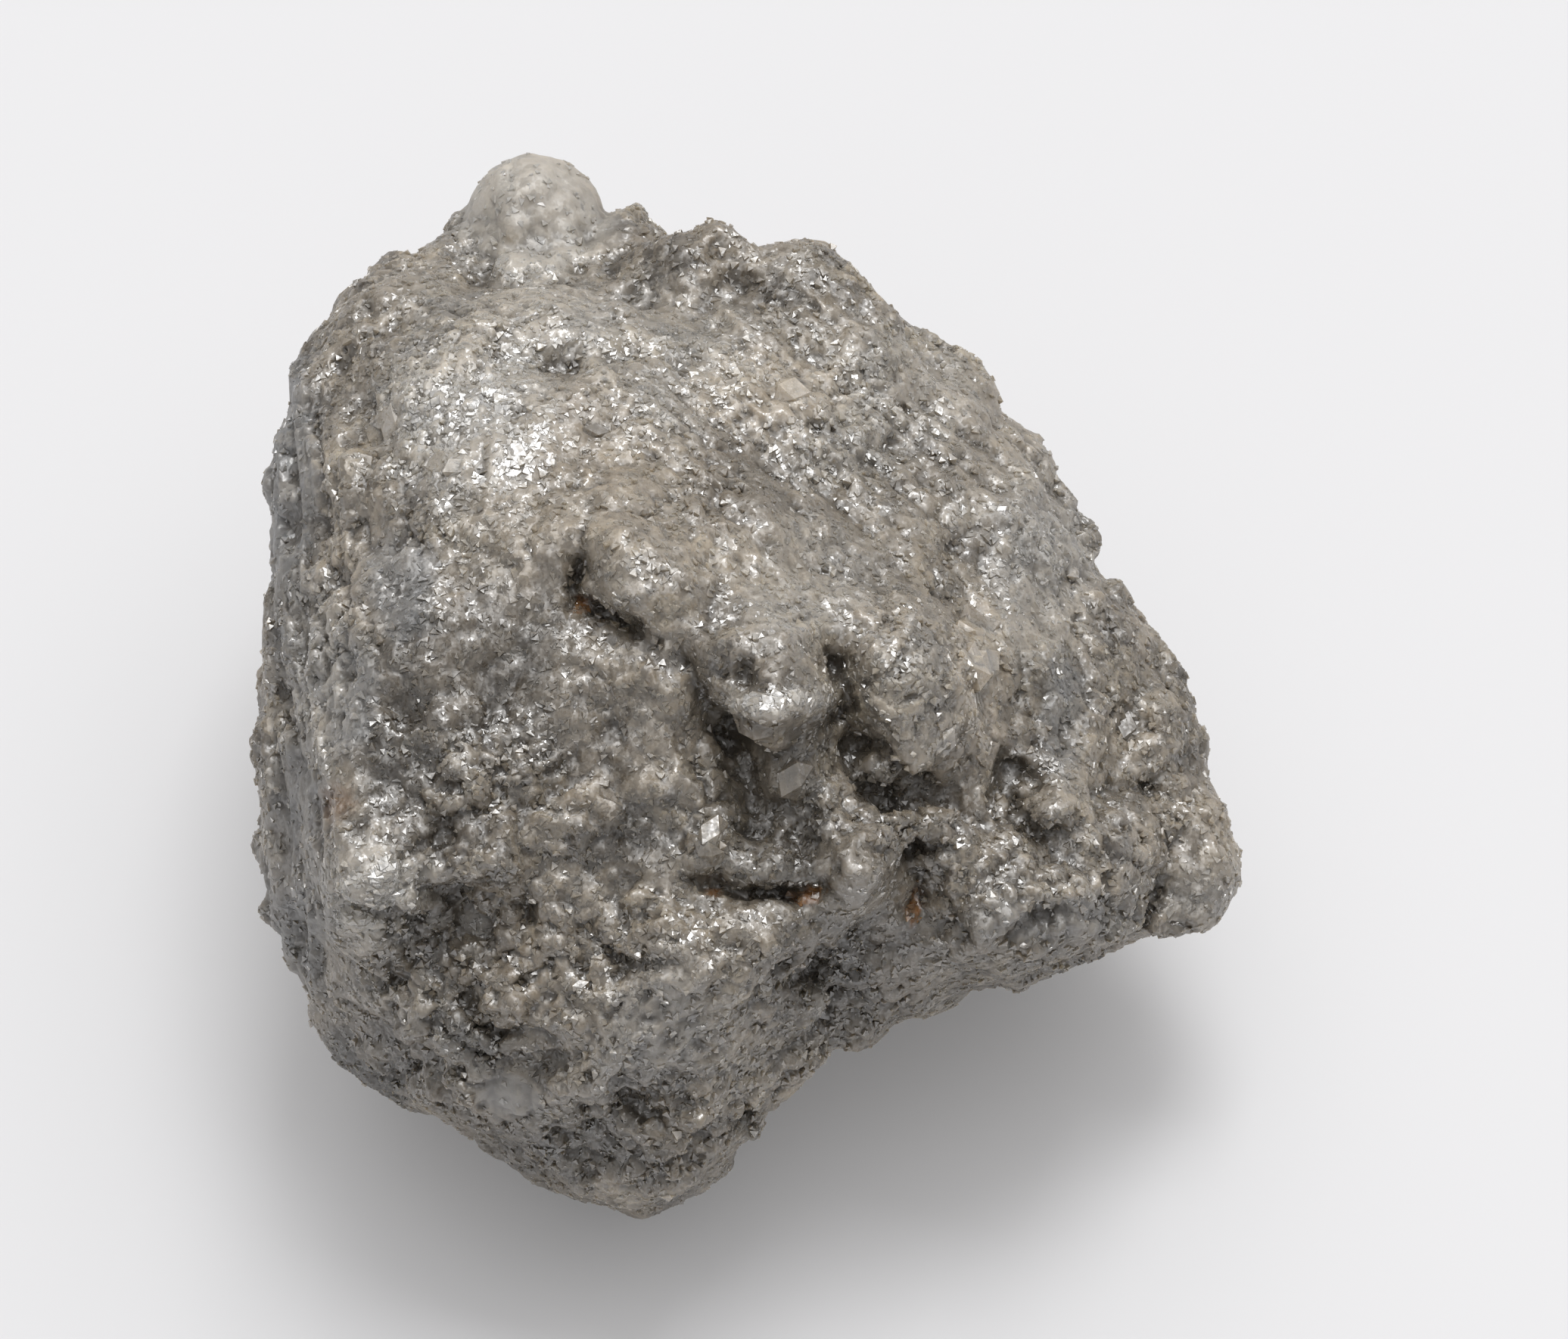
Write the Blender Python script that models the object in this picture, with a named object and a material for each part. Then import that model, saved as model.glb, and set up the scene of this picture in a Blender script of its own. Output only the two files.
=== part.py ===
"""A rough diamond: one knobbly mass of small grey crystals grown together, lying on its flattest side.

The stone is worked out in millimetres in the frame of its display side, which is looked at from the front
and from above: u runs to the right, v up the view and w towards the viewer, from the heart of the stone.
It is turned into the world frame at the end, in metres, with +Z up and the origin under the middle of the
stone, on the surface that it lies on.
"""

import math

import bmesh
import bpy
import numpy as np
from mathutils import Vector, noise
from mathutils.kdtree import KDTree

# Driving dimensions, in millimetres and degrees.
STONE_SCALE = 1.0  # 1 makes a stone 13 mm wide; every length here is scaled with it
DISPLAY_ELEVATION = 57.0  # how far above the horizon the display side is looked at from
HEART_HEIGHT = 4.7  # from the surface that the stone lies on, up to its heart
FACE_CRISPNESS = 26  # how sharply two faces of a block meet: a higher power is crisper
FOOT_MARGIN = 0.12  # how far the rounded stone would reach below the flat that it lies on

# Fineness of the mesh.
FINE_SUBDIVISIONS = 7  # of the ball that the stone is shaped from
TRIANGLES = 9000  # of the finished solid
FOOT_RIM = 0.03  # what is nearer to the surface than this lies on it

MILLIMETRE = 0.001  # in metres

# The stone is three blocks grown together. The girdle of a block is its outermost band, where the display
# side ends. Each row is a side of it: the direction that it looks in round the view, how far it reaches
# from the heart, the w that it does so at, and how far its faces lean to the viewer and to the back.
BODY_GIRDLE = (
    # around, reach, level, leans
    (180, 6.78, 0.8, (19, 30)),  # the long flat flank
    (158, 7.95, -0.4, (34, 42)),
    (134, 7.75, -1.4, (38, 52)),
    (106, 6.70, -1.8, (36, 60)),
    (84, 5.25, -1.8, (38, 60)),  # the far side, under the nub
    (66, 4.65, -1.6, (42, 56)),
    (49, 4.65, -1.2, (44, 46)),  # the long smooth slope
    (33, 4.90, -0.6, (44, 38)),
    (14, 5.10, 0.1, (40, 34)),
    (-20, 7.20, 0.5, (32, 30)),  # the blunt corner
    (-50, 6.25, 0.5, (26, 24)),
    (-71, 4.65, 0.8, (20, 18)),
    (-120, 7.10, 0.6, (26, 16)),
    (203, 7.75, 0.6, (24, 22)),
)
# faces turned to the viewer: around, lean, distance from the heart
BODY_CROWN = (
    (0, 90, 4.25),
    (45, 62, 4.1),
    (-70, 62, 4.35),
)
# The upper block stands out from the body, and ends in a step across the middle of the display side.
UPPER_GIRDLE = (
    (180, 6.75, 1.4, (24, 30)),
    (158, 7.15, 0.6, (34, 30)),
    (130, 7.00, 0.0, (38, 30)),
    (100, 5.90, -0.6, (36, 30)),
    (66, 4.95, -0.6, (42, 30)),
    (49, 4.35, -0.2, (44, 30)),
    (30, 4.20, 0.2, (44, 30)),
    (5, 5.00, 0.8, (40, 30)),
)
UPPER_CROWN = (
    (0, 90, 4.85),
    (165, 64, 5.0),
    (100, 62, 4.6),
    (38, 62, 4.4),
    (-60, 74, 4.8),
    (-84, 12, 1.75),  # the step, on the right
    (-106, 22, 2.40),  # and on the left
)
# The lobe is the third block, at the lower left.
LOBE_GIRDLE = (
    (-43, 3.95, 1.2, (28, 20)),
    (-88, 7.08, 0.8, (22, 14)),
    (-121, 7.42, 0.6, (21, 14)),
    (-145, 7.75, 0.6, (24, 20)),
    (180, 6.60, 0.8, (20, 28)),
)
LOBE_CROWN = (
    (0, 90, 4.35),
    (-130, 62, 5.5),
    (90, 48, 1.65),
    (90, -20, 2.4),
    (25, 35, 2.9),
    (25, -20, 2.8),
)
BLOCKS = ((BODY_GIRDLE, BODY_CROWN), (UPPER_GIRDLE, UPPER_CROWN), (LOBE_GIRDLE, LOBE_CROWN))
FILLET = 0.5  # the width of the rounded crease where two blocks meet

# Round swellings on the display side: u, v, radius and height.
SWELLINGS = {
    "knob": (-0.15, -0.05, 0.95, 0.50),
    "knob lip": (-0.20, -0.45, 0.55, 0.30),
    "right boss": (1.60, 0.05, 1.10, 0.55),
    "right boss foot": (2.10, -0.80, 0.75, 0.30),
    "boss neighbour": (3.00, 0.30, 1.00, 0.25),
    "brow over the cleft": (-1.80, 1.50, 1.00, 0.30),
    "mid brow": (-0.50, 1.90, 1.20, 0.20),
    "upper left swelling": (-4.30, 3.30, 1.70, 0.30),
    "under the nub": (-3.20, 4.70, 1.00, 0.30),
    "left shoulder": (-5.20, 4.60, 0.80, 0.20),
    "flank bump": (-6.75, -1.30, 0.55, 0.22),
    "pink bump": (-4.35, -1.35, 0.65, 0.28),
    "left mid ledge": (-4.90, 0.90, 1.00, 0.20),
    "lobe shoulder": (-5.30, -3.00, 1.00, 0.40),
    "wave ledge": (-4.10, -2.45, 0.90, 0.25),
    "lobe top": (-2.50, -4.60, 1.20, 0.35),
    "lobe nose": (-3.60, -5.60, 0.90, 0.25),
    "lobe right": (-1.00, -3.60, 0.80, 0.25),
    "lobe foot": (-1.20, -6.20, 0.90, 0.20),
    "hooded block": (0.40, -2.30, 0.80, 0.25),
    "block crystal": (-1.00, -2.20, 0.32, 0.22),
    "small knob": (3.50, -1.60, 0.45, 0.28),
    "corner boss": (4.35, -2.35, 0.75, 0.30),
    "corner lobe": (5.50, -2.60, 0.80, 0.25),
    "corner shoulder": (5.05, -0.90, 0.70, 0.18),
    "lower right ridge": (2.60, -3.20, 1.10, 0.30),
    "far edge crystal": (-1.30, 5.60, 0.45, 0.20),
    "far edge swelling": (0.30, 5.20, 0.80, 0.20),
    "notch crystal": (0.55, -4.35, 0.30, 0.15),
}
# Hollows, the same way, with a depth.
HOLLOWS = {
    "beside the nub": (-4.15, 5.20, 0.50, 0.30),
    "right of the nub": (-2.30, 5.20, 0.45, 0.20),
    "under the knob": (-0.75, -0.95, 0.60, 0.45),
    "knob shelf": (-0.55, -0.05, 0.30, 0.15),
    "valley": (0.40, -1.70, 1.00, 0.25),
    "hood": (0.25, -2.75, 0.50, 0.35),
    "belly": (0.95, -3.60, 0.70, 0.30),
    "notch": (0.75, -4.60, 0.55, 0.35),
    "left hollow": (-3.60, -0.50, 1.20, 0.20),
    "behind the wave ledge": (-4.40, -3.15, 0.55, 0.30),
    "lobe hollow": (-4.00, -3.70, 0.60, 0.25),
    "dark hollow": (-0.50, 2.60, 0.60, 0.15),
    "corner hollow": (4.60, -1.60, 0.50, 0.20),
    "lobe pit": (-1.85, -5.80, 0.35, 0.20),
    "band pit one": (-5.72, -4.90, 0.25, 0.15),
    "band pit two": (-5.05, -5.40, 0.25, 0.15),
    "far pit": (-5.90, 4.05, 0.25, 0.15),
}
# Clefts: the points (u, v) that each runs through, its width and its depth.
CLEFTS = {
    "main cleft": (((-2.72, 1.50), (-2.68, 1.10), (-2.35, 0.75), (-1.85, 0.55), (-1.45, 0.25), (-1.10, -0.40)), 0.34, 0.75),
    "knob gap": (((0.72, 0.10), (0.80, -0.50), (1.15, -1.00), (1.60, -1.35), (2.50, -1.45)), 0.36, 0.70),
    "knob channel": (((-1.05, -0.50), (-0.65, -1.00), (-0.50, -1.90)), 0.40, 0.35),
    "level cleft": (((-1.25, -2.60), (-0.90, -2.88), (-0.20, -2.95), (0.55, -2.95)), 0.32, 0.65),
    "right hole": (((1.75, -2.45), (1.74, -2.80), (1.86, -3.25)), 0.28, 0.55),
    "knob cleft": (((3.00, -1.30), (3.08, -1.80), (3.30, -2.15), (3.60, -2.30)), 0.30, 0.45),
    "corner groove": (((4.00, -1.70), (4.40, -1.55), (4.95, -1.50)), 0.28, 0.25),
    "corner lobe groove": (((5.20, -2.20), (5.08, -2.80), (4.70, -3.30)), 0.32, 0.30),
    "notch groove": (((0.30, -4.00), (0.75, -4.35), (0.85, -4.90)), 0.40, 0.40),
    "slit": (((2.40, -1.45), (2.60, -1.80), (2.75, -2.05)), 0.24, 0.30),
}

# Round-headed outgrowths on the far side: the middle and the radius of the head.
NUBS = {
    "nub": ((-3.38, 5.88, -1.90), 0.97),
    "nub shoulder": ((-2.62, 5.38, -1.80), 0.66),
    "nub root": ((-2.75, 4.75, -1.60), 1.40),
}

# Forms on the sides and the back: the compass direction and the elevation that each is found in from the
# heart, its radius, and its height, which is negative for a hollow. Direction 90 is straight back.
HIDDEN_FORMS = {
    "rear shoulder": (75, 12, 2.20, 0.45),
    "rear hollow": (112, 28, 1.50, -0.50),
    "rear ledge": (140, 0, 1.70, 0.40),
    "rear knob": (92, -8, 0.90, 0.35),
    "rear pit": (60, 25, 0.60, -0.40),
    "right rear hollow": (28, 8, 1.40, -0.45),
    "right ledge": (5, -20, 1.20, 0.30),
    "left rear hollow": (150, -14, 1.20, -0.35),
    "left foot ledge": (195, -25, 1.30, 0.30),
    "front foot hollow": (-92, -30, 1.10, -0.30),
    "front foot boss": (-70, -25, 0.90, 0.25),
}
# Places on the display side that are smoother than the rest: u, v and radius.
SMOOTH_PLACES = {
    "nub": (-3.40, 5.90, 1.50),
    "flank top": (-6.45, 2.60, 1.30),
    "flank middle": (-6.50, 0.20, 1.30),
    "flank foot": (-6.40, -2.60, 1.30),
    "lobe sheen": (-2.10, -5.10, 0.80),
    "long slope": (2.80, 3.00, 1.60),
}
SMOOTHING = 0.8  # the share of the small forms that such a place is without

# Smaller forms that cover the stone all over.
LUMP_SIZE = 1.5  # across a lump
LUMP_HEIGHT = 0.16
CRYSTAL_SIZE = 0.85  # across one of the larger crystals, which show as small flat faces
CRYSTAL_TILT = 0.24  # the steepest slope of a crystal's face against the skin around it
CRYSTAL_STEP = 0.05  # how far a crystal stands out or lies back
CRYSTAL_TRIES = 6000  # points that are tried as the middle of a crystal
SEED = 7


def towards(around, lean):
    """The unit direction at an angle round the view, leaning towards the viewer, in the display frame."""
    a, b = math.radians(around), math.radians(lean)
    return np.array([math.cos(b) * math.cos(a), math.cos(b) * math.sin(a), math.sin(b)])


def display_axes():
    """The u, v and w axes as the rows of a matrix, in the world frame."""
    e = math.radians(DISPLAY_ELEVATION)
    return np.array([[1, 0, 0], [0, math.sin(e), math.cos(e)], [0, -math.cos(e), math.sin(e)]])


def block_faces(girdle, crown):
    """The normal and the distance from the heart of each face of a block."""
    faces = []
    for around, reach, level, (front, back) in girdle:
        for lean in (front, -back):
            b = math.radians(lean)
            faces.append((towards(around, lean), math.cos(b) * reach + math.sin(b) * level))
    faces += [(towards(around, lean), distance) for around, lean, distance in crown]
    down = display_axes() @ np.array([0, 0, -1])
    faces.append((down, HEART_HEIGHT + FOOT_MARGIN))
    return faces


def reach_along(rays, faces):
    """How far a block reaches from the heart along each ray. A power mean rounds the edges between faces.

    It also draws them in, so all is let out again by as much as an edge between two faces was drawn in.
    """
    normals = np.array([normal for normal, _ in faces])
    distances = np.array([distance for _, distance in faces])
    nearness = np.clip(rays @ normals.T / distances, 0, None)
    return ((nearness**FACE_CRISPNESS).sum(axis=1) / 2) ** (-1 / FACE_CRISPNESS)


def reach_of_ball(rays, middle, radius):
    """How far along each ray a ball lies, to its far side. It is 0 along a ray that misses it."""
    along = rays @ np.array(middle)
    half_chord_squared = radius**2 - (np.dot(middle, middle) - along**2)
    hit = (half_chord_squared > 0) & (along > 0)
    return np.where(hit, along + np.sqrt(np.clip(half_chord_squared, 0, None)), 0)


def grown_together(first, second):
    """The further of two reaches, with a fillet where they cross."""
    overlap = np.clip(FILLET - np.abs(first - second), 0, None)
    return np.maximum(first, second) + overlap**2 / (4 * FILLET)


def dome(distances, radius):
    """A soft round profile that is 1 in the middle and 0 from radius on."""
    return np.clip(1 - (distances / radius) ** 2, 0, None) ** 2


def distance_to_line(points, line):
    """The distance from each point to the nearest stretch of a line through several points."""
    nearest = np.full(len(points), np.inf)
    for start, end in zip(line[:-1], line[1:]):
        along = end - start
        share = np.clip((points - start) @ along / (along @ along), 0, 1)
        nearest = np.minimum(nearest, np.linalg.norm(points - start - share[:, None] * along, axis=1))
    return nearest


def on_display_side(points, u, v):
    """The point of the skin that is seen at (u, v)."""
    seen = points[points[:, 2] > -3]
    seen = seen[np.argsort(np.hypot(seen[:, 0] - u, seen[:, 1] - v))[:12]]
    return seen[np.argmax(seen[:, 2])]


def in_direction(points, compass, elevation):
    """The point of the skin that lies in a direction from the heart, measured in the world frame."""
    a, b = math.radians(compass), math.radians(elevation)
    ray = np.array([math.cos(b) * math.cos(a), math.cos(b) * math.sin(a), math.sin(b)])
    rays = points / np.linalg.norm(points, axis=1)[:, None]
    return points[np.argmax(rays @ (display_axes() @ ray))]


def add_forms(points, outward):
    """Raises the swellings and sinks the hollows and clefts, along the outward normals."""
    rise = np.zeros(len(points))
    for sign, forms in ((1, SWELLINGS), (-1, HOLLOWS)):
        for u, v, radius, size in forms.values():
            away = np.linalg.norm(points - on_display_side(points, u, v), axis=1)
            rise += sign * size * dome(away, radius * 1.5)
    for compass, elevation, radius, height in HIDDEN_FORMS.values():
        away = np.linalg.norm(points - in_direction(points, compass, elevation), axis=1)
        rise += height * dome(away, radius * 1.5)
    for route, width, depth in CLEFTS.values():
        line = np.array([on_display_side(points, u, v) for u, v in route])
        rise -= depth * dome(distance_to_line(points, line), width)
    return points + rise[:, None] * outward


def share_left(points):
    """The share of the small forms that each point keeps."""
    smooth = np.zeros(len(points))
    for u, v, radius in SMOOTH_PLACES.values():
        away = np.linalg.norm(points - on_display_side(points, u, v), axis=1)
        smooth = np.maximum(smooth, dome(away, radius * 1.2))
    return 1 - SMOOTHING * np.clip(smooth * 1.6, 0, 1)


def lumps(points):
    """Uneven lumps all over, from two sizes of smooth noise."""
    rise = [
        noise.noise(Vector(p) / LUMP_SIZE) + 0.5 * noise.noise(Vector(p) / (LUMP_SIZE * 0.45))
        for p in points
    ]
    return LUMP_HEIGHT * np.array(rise)


def crystal_faces(points):
    """Cuts the skin into crystals: each takes the points nearest to its middle, and tilts them its own way."""
    draw = np.random.default_rng(SEED)
    middles = []
    for point in points[draw.permutation(len(points))[:CRYSTAL_TRIES]]:
        if not middles or np.linalg.norm(np.array(middles) - point, axis=1).min() > CRYSTAL_SIZE * 0.62:
            middles.append(point)
    tree = KDTree(len(middles))
    for index, middle in enumerate(middles):
        tree.insert(middle, index)
    tree.balance()
    nearest = np.array([tree.find(point)[1] for point in points])
    tilts = draw.uniform(-CRYSTAL_TILT, CRYSTAL_TILT, (len(middles), 3))
    steps = draw.uniform(-CRYSTAL_STEP, CRYSTAL_STEP, len(middles))
    return steps[nearest] + ((points - np.array(middles)[nearest]) * tilts[nearest]).sum(axis=1)


def normals_of(mesh):
    """The vertex normals of a mesh as an array."""
    values = np.empty(len(mesh.vertices) * 3, np.float32)
    mesh.vertex_normals.foreach_get("vector", values)
    return values.reshape(-1, 3).astype(float)


def set_points(mesh, points):
    mesh.vertices.foreach_set("co", points.astype(np.float32).ravel())
    mesh.update()


def shape_stone(mesh):
    """Moves the points of a ball onto the skin of the stone, in millimetres, in the display frame."""
    rays = np.array([v.co.normalized() for v in mesh.vertices])
    reach = np.zeros(len(rays))
    for girdle, crown in BLOCKS:
        reach = grown_together(reach, reach_along(rays, block_faces(girdle, crown)))
    for middle, radius in NUBS.values():
        reach = grown_together(reach, reach_of_ball(rays, middle, radius))
    points = rays * reach[:, None]
    set_points(mesh, points)
    points = add_forms(points, normals_of(mesh))
    set_points(mesh, points)
    small_forms = (lumps(points) + crystal_faces(points)) * share_left(points)
    set_points(mesh, points + small_forms[:, None] * normals_of(mesh))


def lay_down(mesh):
    """Turns the stone into the world frame, flattens its foot and puts the origin under its middle."""
    points = np.array([v.co for v in mesh.vertices], float) @ display_axes()
    points[:, 2] = np.clip(points[:, 2] + HEART_HEIGHT, 0, None)
    middle = (points.min(axis=0) + points.max(axis=0)) / 2
    points[:, :2] -= middle[:2]
    set_points(mesh, points * STONE_SCALE * MILLIMETRE)


def thin_out(stone):
    """Brings the mesh down to its share of triangles, and lays the rim of the foot flat again."""
    thin = stone.modifiers.new("fewer triangles", "DECIMATE")
    thin.ratio = TRIANGLES / len(stone.data.polygons)
    bpy.context.view_layer.objects.active = stone
    bpy.ops.object.modifier_apply(modifier=thin.name)
    for vertex in stone.data.vertices:
        if vertex.co.z < FOOT_RIM * MILLIMETRE:
            vertex.co.z = 0


def diamond_material():
    material = bpy.data.materials.new("rough grey diamond")
    material.use_nodes = True
    surface = material.node_tree.nodes["Principled BSDF"]
    surface.inputs["Base Color"].default_value = (0.26, 0.25, 0.235, 1)
    surface.inputs["Roughness"].default_value = 0.38
    surface.inputs["Metallic"].default_value = 0.0
    return material


def make_stone():
    ball = bmesh.new()
    bmesh.ops.create_icosphere(ball, subdivisions=FINE_SUBDIVISIONS, radius=1)
    mesh = bpy.data.meshes.new("rough_diamond")
    ball.to_mesh(mesh)
    ball.free()
    shape_stone(mesh)
    lay_down(mesh)
    mesh.materials.append(diamond_material())
    stone = bpy.data.objects.new("rough_diamond", mesh)
    bpy.context.scene.collection.objects.link(stone)
    thin_out(stone)


def clear_scene():
    for old in list(bpy.data.objects):
        bpy.data.objects.remove(old)


def main():
    clear_scene()
    make_stone()


main()
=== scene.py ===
# %% [markdown]
# # A rough diamond, from its solid to its sparkle
#
# This stone is boart: a great many small diamond crystals that grew together into one grey lump. The
# solid that is loaded here has its blocks, its nub and its larger clefts. What makes it look like diamond
# is finer than that: ledges and pits, lumps of crystals, flat crystal faces that each catch the light at
# their own angle, and a few stains. The lesson copies the solid, gives the copy a finer skin, and works
# from coarse forms to fine ones. Then it sets tens of thousands of real little crystals into the skin,
# and only the last, dust-fine sparkle is left to the material.

# %% Load the solid stone
import math

import bpy
import numpy as np
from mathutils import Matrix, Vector, noise


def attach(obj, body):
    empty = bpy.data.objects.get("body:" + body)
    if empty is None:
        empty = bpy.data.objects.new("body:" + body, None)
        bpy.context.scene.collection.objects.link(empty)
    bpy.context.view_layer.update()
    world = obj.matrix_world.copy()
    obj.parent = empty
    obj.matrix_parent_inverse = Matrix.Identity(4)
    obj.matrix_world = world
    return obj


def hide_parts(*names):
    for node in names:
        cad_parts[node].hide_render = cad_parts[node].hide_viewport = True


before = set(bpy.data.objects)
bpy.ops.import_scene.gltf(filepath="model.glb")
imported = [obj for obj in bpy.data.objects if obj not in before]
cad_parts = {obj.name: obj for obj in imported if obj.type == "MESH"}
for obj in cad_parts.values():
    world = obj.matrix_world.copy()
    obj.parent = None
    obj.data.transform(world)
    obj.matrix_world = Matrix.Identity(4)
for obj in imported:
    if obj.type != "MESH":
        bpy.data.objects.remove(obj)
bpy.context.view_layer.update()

# %% [markdown]
# ## The side that is shown
#
# A stone has no front or top, so places on it are given as they are seen by the camera: so many
# millimetres to the right of the heart of the stone, and so many up. The camera looks down at 57 degrees,
# and it is near enough for close parts to look a little larger, which `as_seen` allows for.

# %% The camera's axes and the heart of the stone
MM = 0.001  # one millimetre, in metres
ELEVATION = math.radians(57)
HEART = np.array([0.54, -0.03, 4.70])  # the middle of the stone, in millimetres
VIEW_WIDTH = 20.72  # millimetres across the camera's view, at the heart
LENS = 200.0
SENSOR_WIDTH = 36.0
CAMERA_DISTANCE = VIEW_WIDTH * LENS / SENSOR_WIDTH

RIGHT = np.array([1.0, 0.0, 0.0])
UP = np.array([0.0, math.sin(ELEVATION), math.cos(ELEVATION)])
NEAR = np.array([0.0, -math.cos(ELEVATION), math.sin(ELEVATION)])


def as_seen(points):
    """How far to the right and how far up the camera sees points that are in millimetres."""
    from_heart = points - HEART
    enlargement = CAMERA_DISTANCE / (CAMERA_DISTANCE - from_heart @ NEAR)
    return np.column_stack([from_heart @ RIGHT, from_heart @ UP]) * enlargement[:, None]


print("camera stands", round(CAMERA_DISTANCE, 1), "mm from the heart of the stone")

# %% [markdown]
# ## A fine skin
#
# The solid has 9000 triangles, each about a third of a millimetre, and the skin needs to be seven times
# finer. Subdividing would keep every flat triangle, so the copy is remeshed instead: a voxel remesh lays
# an even net of small squares over it, and a little smoothing melts the old edges. Blender's voxels have
# a smallest size that is too coarse for a stone of 13 mm, so the copy is worked on at a thousand times
# its size, in which a metre stands for a millimetre, and it is brought back at the end.

# %% Select one object, and apply a modifier to it
ENLARGEMENT = 1000  # while it is enlarged, a length of 1 stands for a millimetre
COARSE = 0.06  # the net's squares for the large forms, in millimetres
FINE = 0.045  # and for the small ones


def select_only(piece):
    """Selects one object and makes it active, because an operator acts on all that is selected."""
    bpy.ops.object.select_all(action="DESELECT")
    piece.select_set(True)
    bpy.context.view_layer.objects.active = piece


def modify(piece, kind, **settings):
    """Adds a modifier with its settings and applies it."""
    modifier = piece.modifiers.new(kind, kind)
    for name, value in settings.items():
        setattr(modifier, name, value)
    select_only(piece)
    bpy.ops.object.modifier_apply(modifier=modifier.name)


# %% Copy the solid, enlarge it and lay a fine net over it
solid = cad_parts["rough_diamond"]
skin = bpy.data.objects.new("crystal_skin", solid.data.copy())
bpy.context.scene.collection.objects.link(skin)
select_only(skin)
bpy.ops.object.mode_set(mode="EDIT")
bpy.ops.mesh.select_all(action="SELECT")
bpy.ops.mesh.remove_doubles(threshold=1e-6)
bpy.ops.object.mode_set(mode="OBJECT")
skin.scale = (ENLARGEMENT, ENLARGEMENT, ENLARGEMENT)
bpy.ops.object.transform_apply(location=False, rotation=False, scale=True)
modify(skin, "REMESH", mode="VOXEL", voxel_size=COARSE)
modify(skin, "SMOOTH", factor=0.5, iterations=16)
print("skin:", len(skin.data.vertices), "points")

# %% [markdown]
# ## Sculpting in code
#
# With a brush this would be sculpting. Here each form has a name, a place and a size, so it can be found
# and changed. All points of the skin are read at once as an array, moved, and written back. Two kinds of
# move are used: along the normal, for what covers the whole stone, and towards the camera, for the forms
# of the side that is shown.

# %% Read and move the points of the skin


def read(mesh, what):
    """The vertices of a mesh, or its vertex_normals, as rows of x, y and z."""
    values = np.empty(len(mesh.vertices) * 3, np.float32)
    getattr(mesh, what).foreach_get("co" if what == "vertices" else "vector", values)
    return values.reshape(-1, 3).astype(float)


def write(points):
    """Moves the points of the skin, and leaves none of them below the table."""
    points[:, 2] = np.clip(points[:, 2], 0, None)
    skin.data.vertices.foreach_set("co", points.astype(np.float32).ravel())
    skin.data.update()


def raise_skin(heights):
    """Moves each point of the skin along its normal."""
    write(read(skin.data, "vertices") + heights[:, None] * read(skin.data, "vertex_normals"))


# %% Noise and cell patterns in millimetres


def clouds(points, size, octaves=3):
    """Soft random heights, mostly from -1 to 1."""
    return np.array([noise.fractal(point, 0.8, 2.1, octaves) for point in points / size])


def draw(middles, number):
    """A random value from 0 to 1 for each cell, the same each time."""
    return np.abs(np.sin(middles @ (12.99 + number, 78.23, 37.72 - 2 * number)) * 43758.5) % 1


NEIGHBOURS = np.stack(np.meshgrid(*[(-1, 0, 1)] * 3, indexing="ij"), axis=-1).reshape(-1, 3)


def cells(points, size, number=4):
    """The distances, in cell sizes, to the nearest middles of cells, and those middles, nearest first."""
    away, middles = [], []
    for part in np.array_split(points / size, len(points) // 20000 + 1):
        corners = np.floor(part)[:, None] + NEIGHBOURS
        scattered = corners + np.stack([draw(corners, axis) for axis in range(3)], axis=-1)
        distances = np.linalg.norm(part[:, None] - scattered, axis=-1)
        order = np.argsort(distances, axis=1)[:, :number]
        away.append(np.take_along_axis(distances, order, 1))
        middles.append(np.take_along_axis(scattered, order[..., None], 1))
    return np.concatenate(away), np.concatenate(middles)


# %% [markdown]
# ## Make the shown side ready
#
# The solid has the stone's clefts and bosses as blunt forms, and sharp ones take their place. So the
# blunt ones are smoothed off the shown side first, and most of all in the deepest hollows. A brush with a
# soft edge is an oval here: 1 inside it, and falling to 0 around it.

# %% Take the solid's own small forms off the shown side


def oval(places, right, up, half_width, half_height, soft=1.0):
    """1 inside an oval, falling to 0 over a share of its size outside it."""
    away = np.hypot((places[:, 0] - right) / half_width, (places[:, 1] - up) / half_height)
    return np.clip((1 + soft - away) / soft, 0, 1)


def strongest(places, ovals, soft):
    """For each place the most that any oval gives it. The last value of an oval is how much it gives."""
    return np.max([amount * oval(places, *place, soft) for *place, amount in ovals], axis=0)


def soften(name, weights, iterations):
    """Smooths the skin where the weights say, from 0 to 1."""
    group = skin.vertex_groups.new(name=name)
    for tenth in range(1, 11):
        group.add(np.flatnonzero(np.round(weights * 10) == tenth).tolist(), tenth / 10, "REPLACE")
    modify(skin, "SMOOTH", factor=0.5, iterations=iterations, vertex_group=name)


HOLLOWS = (  # right, up, half width, half height of what is filled
    (1.65, -1.20, 0.85, 0.50),
    (0.60, -1.30, 0.50, 0.60),
    (-0.40, -2.95, 1.10, 0.28),
    (1.80, -2.90, 0.30, 0.45),
    (-2.30, 0.85, 0.70, 0.50),
    (3.20, -1.80, 0.30, 0.60),
)
points = read(skin.data, "vertices")
seen = as_seen(points)
facing = np.clip(3 * read(skin.data, "vertex_normals") @ NEAR, 0, 1)
near_side = (points - HEART) @ NEAR > 0.5
soften("shown side", facing * (1 - oval(seen, -3.35, 5.95, 0.9, 0.9, 0.5)), 55)
soften("hollows", near_side * np.max([oval(seen, *hollow, 0.5) for hollow in HOLLOWS], axis=0), 260)
print("shown side smoothed, and", len(HOLLOWS), "hollows filled")

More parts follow.
